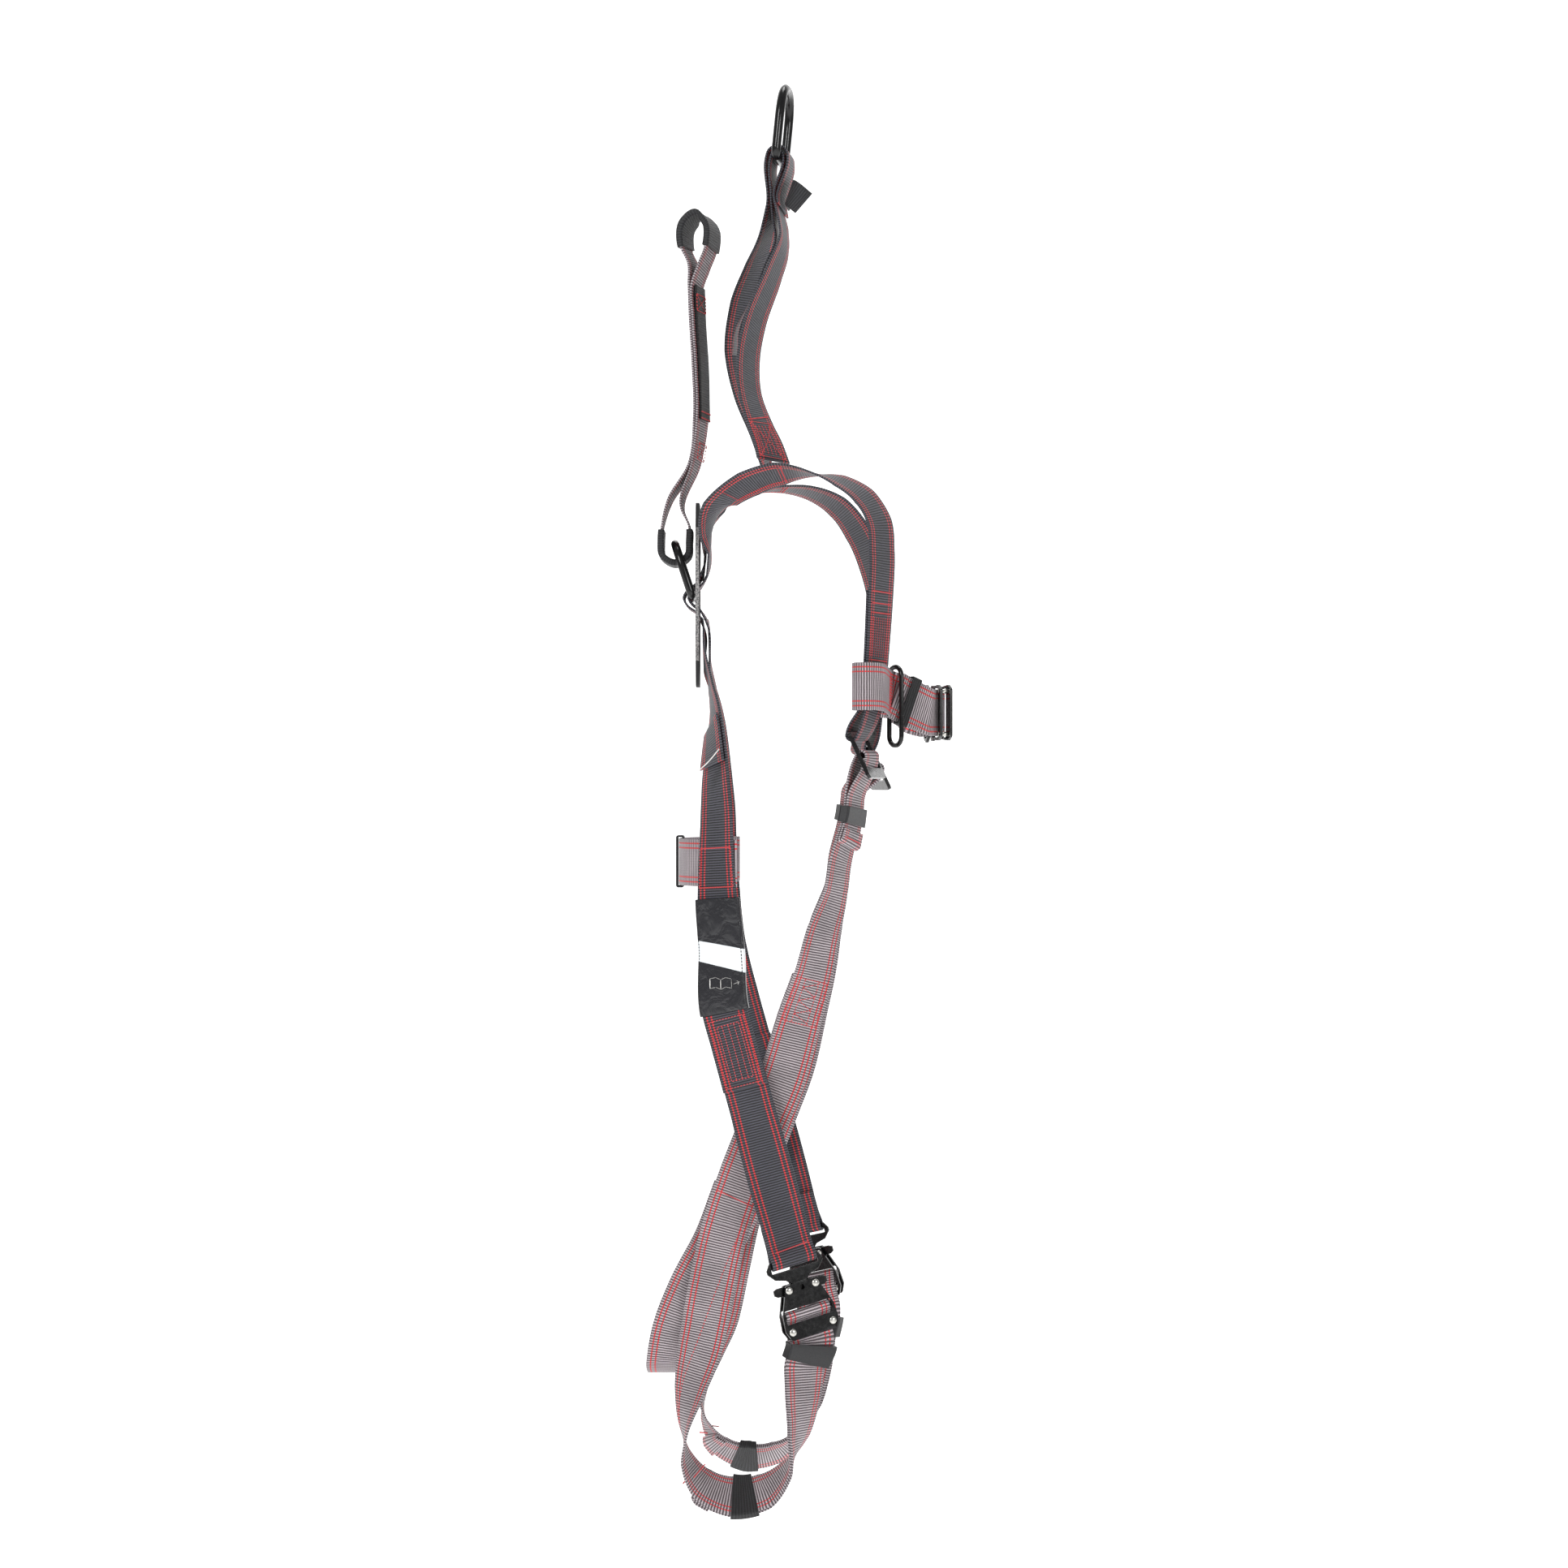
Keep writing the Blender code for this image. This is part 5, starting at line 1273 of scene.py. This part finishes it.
# %% Each side's straps
for side, name in ((-1, "right"), (1, "left")):
    shoulder = shoulder_strap(side)
    strap("shoulder_strap_" + name, shoulder, dark_polyester)
    adjuster(side, "adjuster_" + name)
    front = front_strap(side)
    strap("front_strap_" + name, front, grey_polyester)
    thigh = thigh_route(side)
    keeper = section(thigh, at(62, 90 * side, -700), FRONT_KEEPER_LENGTH, 6)
    sleeve("front_keeper_" + name, keeper, moulded_black, WEB_THICK + LAYER, KEEPER_WALL,
           LAYER / 2)
    far = "left" if name == "right" else "right"
    tag_route = beside(section(shoulder, at(-66, -85 * side, -632), 42, 14), LAYER + 1)
    strap("indicator_tag_" + far, tag_route, dark_polyester)
    flag = smooth([(at(x, -114 * side, z), Vector((0, 1, 0)))
                   for x, z in ((-61, -637), (-71, -649), (-82, -659))])
    strap("warning_flag_" + far, flag, white_tape, width=14, thick=0.8)
    strap("hip_strap_" + name, trimmed(hip_strap(side)[::-1], 6)[::-1], dark_polyester,
          name + "_leg_tongue", waver=0.0)
    route, main, outer = leg_layers(side)
    strap("leg_strap_" + name, route, grey_polyester)
    below = section(main, at(22, 102 * side, -1207.5), BUCKLE_KEEPER_LENGTH, 8)
    sleeve("buckle_keeper_" + name, below, moulded_black, WEB_THICK + LAYER + 1.8,
           KEEPER_WALL, outer / 2)
    low = section(main, at(-38, 101 * side, -1344), KEEPER_LENGTH, 8)
    sleeve("thigh_keeper_" + name, low, black_elastic, WEB_THICK + LAYER, SLEEVE_WALL,
           outer / 2)
    # Stitching: shoulder tacks, the box over the hip's lap, and the thigh's joins.
    shoulder_track = track_of(shoulder)
    thigh_track = track_of(thigh)
    fold = reach_at(shoulder_track, -489, 1)
    both_faces("shoulder_tacks_" + name, shoulder_track,
               [tack(fold), tack(fold + 11), tack(fold + 20), tack(fold + 65)], LAYER + 1)
    both_faces("shoulder_block_" + name, shoulder_track, rows(fold + 24, fold + 62, 9, 17), LAYER + 1,
               pitch=2.2, girth=0.4)
    top = reach_near(shoulder_track, at(-28, 70 * side, -382))
    both_faces("shoulder_join_" + name, shoulder_track, [box(top - 27, top + 27, 15), tack(top + 30)])
    sew("hip_lap_" + name, shoulder_track, [box(3, 68), box(9, 62, 11)] + [
        [(x, 9), (x, 62)] for x in (-6, 0, 6)], 1.0, slot="dark_webbing")
    seams = [reach_at(shoulder_track, z) for z in (-765, -728.5)]
    both_faces("back_strap_seams_" + name, shoulder_track, [tack(seams[0], 20), tack(seams[1], 20),
               [(20, seams[0]), (20, seams[1])], [(-20, seams[0]), (-20, seams[1])]])
    box_top = reach_at(thigh_track, -858)
    both_faces("thigh_box_" + name, thigh_track, [box(box_top, box_top + 43), zigzag(
        box_top + 2, box_top + 41, 8, 6)] + rows(box_top, box_top + 43, 2, 8), LAYER + 1.2)
    low_join = reach_at(thigh_track, -1063)
    both_faces("thigh_join_" + name, thigh_track, [tack(low_join, 18, 2)])
    leg_track = track_of(main)
    line_top = reach_at(leg_track, -1078)
    both_faces("leg_line_" + name, leg_track, [[(17, line_top), (-17, line_top + 205)]], pitch=3.6)
    loose_end = reach_near(leg_track, at(-84, 101 * side, -1322))
    both_faces("leg_fold_tack_" + name, leg_track, [tack(loose_end, 16)], 2 * LAYER + 1.6, 2 * LAYER + 1.6)
    both_faces("fold_tack_" + name, thigh_track, [tack(reach_at(thigh_track, -722), 16)], 1.0,
               2 * LAYER + 1.6)
    tongue_track = track_of(hip_strap(side))
    tongue_join = reach_at(tongue_track, -1110)
    both_faces("tongue_join_" + name, tongue_track, [tack(tongue_join, 17, 1)], LAYER + 1,
               body=name + "_leg_tongue", slot="dark_webbing")
    print(name, "side made")

# %% [markdown]
# ## Label, lower back, chest and seat
#
# The right hip carries a clear-faced sleeve with a printed pale band and a plain drawing of a
# book.  A grey strap crosses the lower back, another one hangs behind like the seat of a swing,
# and the chest strap closes the front with the third buckle.

# %% Label sleeve
hip_route = section(shoulder_strap(1), at(-62, -103, -832), LABEL_LENGTH, 36)
sleeve("label_sleeve", hip_route, glossy_vinyl, WEB_THICK, SLEEVE_WALL, bevel=0.3)



def printed(name, track, outlines, lift):
    """Thin raised strokes of ink along closed or open lines of (across, along) places."""
    bm = bmesh.new()
    for line in outlines:
        for (u0, s0), (u1, s1) in zip(line, line[1:]):
            ends = [on_track(track, u, along, lift) for u, along in ((u0, s0), (u1, s1))]
            run = ends[1] - ends[0]
            turn = run.to_track_quat("X", "Z").to_matrix().to_4x4()
            size = Matrix.Diagonal((run.length / 2 + 0.3, 0.55, 0.14, 1))
            bmesh.ops.create_icosphere(bm, subdivisions=2, radius=1,
                                       matrix=Matrix.Translation((ends[0] + ends[1]) / 2) @ turn @ size)
    return finished(name, bm, white_tape, ROOT)


label_track = track_of(hip_route)
page = [(0, 0), (5, 2.2), (11, 1), (11, 10), (5, 11.2), (0, 9)]
book = [[(x * flip, 22 + y) for x, y in page] for flip in (1, -1)] + [[(0, 22), (0, 31)]]
arrow = [[(-13, 27), (-19, 29)], [(-16.6, 30.2), (-19, 29), (-17.6, 26.6)]]
for face in (-1, 1):
    printed(f"label_drawing_{face % 3}", label_track, book + arrow,
            face * (WEB_THICK / 2 + BAND_CLEAR + SLEEVE_WALL + 0.1))
edge_lines = [[(x, 2), (x, LABEL_LENGTH - 2)] for x in (-22.5, 22.5)]
both_faces("label_seams", label_track, edge_lines, 3.15, 3.15, slot="label_vinyl", material=black_thread)

# %% Lower back
half_back = [(-45, -112, -745), (-60, -96, -745), (-76, -80.5, -745), (-91, -60, -745), (-99, -32, -745)]
back_places = half_back + [(-101, 0, -745)] + [(x, -y, z) for x, y, z in reversed(half_back)]
back_route = smooth(level(*back_places))
strap("lower_back_strap", back_route, grey_polyester)
sleeve("back_keeper", section(back_route, at(-101, 0, -745), BACK_KEEPER_LENGTH, 8), moulded_black,
       WEB_THICK, KEEPER_WALL, body="back_keeper")

# %% Chest
chest_right, chest_run = chest_strap_right()
strap("chest_strap_right", chest_right, grey_polyester)
strap("chest_strap_left", chest_strap_left(), grey_polyester)
ring_points = rectangle(-CHEST_RING_WIDTH / 2, -CHEST_RING_HEIGHT, CHEST_RING_WIDTH / 2, 0, 9)
forged_ring("chest_ring", ring_points, CHEST_ROD, chest_ring_frame(chest_run), "chest_ring", 0.0)
sleeve("chest_elastic", section(chest_run, at(118, -50.4, -591), ELASTIC_WIDTH, 5), black_elastic,
       WEB_THICK + LAYER + 1.4, SLEEVE_WALL, LAYER / 2 + 0.4)

chest_track = track_of(chest_right)
chest_join = reach_near(chest_track, at(101, -68, -582))
chest_rows = [zigzag(chest_join - 3, chest_join + 5, 19, 1), tack(chest_join - 6, 19),
              tack(chest_join + 8, 19), zigzag(chest_join - 4, chest_join + 6, 19, 8)]
both_faces("chest_stitches", chest_track, chest_rows)
other_track = track_of(chest_strap_left())
other_join = reach_near(other_track, at(107, 68, -584))
both_faces("other_chest_stitches", other_track, [tack(other_join - 5, 19), tack(other_join + 5, 19)])
back_track = track_of(back_route)
for name, along in (("right", 12), ("left", back_track[1][-1] - 12)):
    both_faces("back_ends_" + name, back_track, [zigzag(along - 6, along + 6, 19, 8), tack(along, 19)])

# %% Seat
seat_right = [(x, y, z, 90) for x, y, z in SEAT]
seat_left = mirrored(list(reversed(seat_right[:-1])), 13)
seat_route = smooth([(at(x, y, z), Vector((1, 0, 0))) for x, y, z, turn in seat_right + seat_left])
strap("seat_strap", seat_route, grey_polyester)

# %% [markdown]
# ## Room, lights and camera
#
# The harness hangs in front of a pale sweep.  Large soft lights give the black steel long
# highlights, and a level camera stands three and a half metres from the wearer's right side.

# %% Sweep
SWEEP_GLOW = 0.62            # keeps the paper white under soft light
WORLD_LIGHT = 0.32
VIEW_LENS = 82.6             # mm, on a 36 mm sensor
KEY_POWER, FILL_POWER, TOP_POWER = 66, 24, 24
LIGHT_AIM = Vector((0, 0, -0.7))

sweep_bm = bmesh.new()
edge = [sweep_bm.verts.new((x, -6.0, -1.62)) for x in (-6.0, 6.0)]
line = sweep_bm.edges.new(edge)
for move in ((0, 9.0, 0), (0, 0.6, 0.2), (0, 0.2, 0.6), (0, 0, 6.0)):
    made = bmesh.ops.extrude_edge_only(sweep_bm, edges=[line])["geom"]
    line = next(item for item in made if isinstance(item, bmesh.types.BMEdge))
    bmesh.ops.translate(sweep_bm, verts=list(line.verts), vec=move)
bmesh.ops.recalc_face_normals(sweep_bm, faces=sweep_bm.faces)
sweep_mesh = bpy.data.meshes.new("studio_sweep")
sweep_bm.to_mesh(sweep_mesh)
sweep_bm.free()
sweep_mesh.shade_smooth()
paper = plain_finish("pale_studio_paper", "#f4f4f4", "#fafafa", 20.0, 0.9)
glow = paper.node_tree.nodes["Principled BSDF"]
glow.inputs["Emission Color"].default_value = (1.0, 1.0, 1.0, 1.0)
glow.inputs["Emission Strength"].default_value = SWEEP_GLOW
sweep_mesh.materials.append(paper)
studio_sweep = bpy.data.objects.new("studio_sweep", sweep_mesh)
bpy.context.scene.collection.objects.link(studio_sweep)

# %% Lights
lights = (("key", (-1.7, -3.0, 1.0), 1.3, KEY_POWER), ("fill", (2.2, -2.6, 0.0), 0.9, FILL_POWER),
          ("top", (0.3, 0.4, 2.0), 1.2, TOP_POWER))
for light_name, place, size, power in lights:
    lamp = bpy.data.lights.new(light_name, "AREA")
    lamp.size = size
    lamp.energy = power
    holder = bpy.data.objects.new(light_name, lamp)
    holder.location = place
    holder.rotation_euler = (LIGHT_AIM - Vector(place)).to_track_quat("-Z", "Y").to_euler()
    bpy.context.scene.collection.objects.link(holder)
world = bpy.context.scene.world or bpy.data.worlds.new("studio")
bpy.context.scene.world = world
world.use_nodes = True
world.node_tree.nodes["Background"].inputs[0].default_value = (1.0, 1.0, 1.0, 1.0)
world.node_tree.nodes["Background"].inputs[1].default_value = WORLD_LIGHT

# %% Camera
view = bpy.data.cameras.new("side_view")
view.sensor_width = 36.0
view.lens = VIEW_LENS
camera = bpy.data.objects.new("side_view", view)
camera.location = (0, -3.5, -0.67)
camera.rotation_euler = (math.radians(90), 0, 0)
bpy.context.scene.collection.objects.link(camera)
bpy.context.scene.camera = camera
bpy.context.scene.view_settings.view_transform = "Standard"
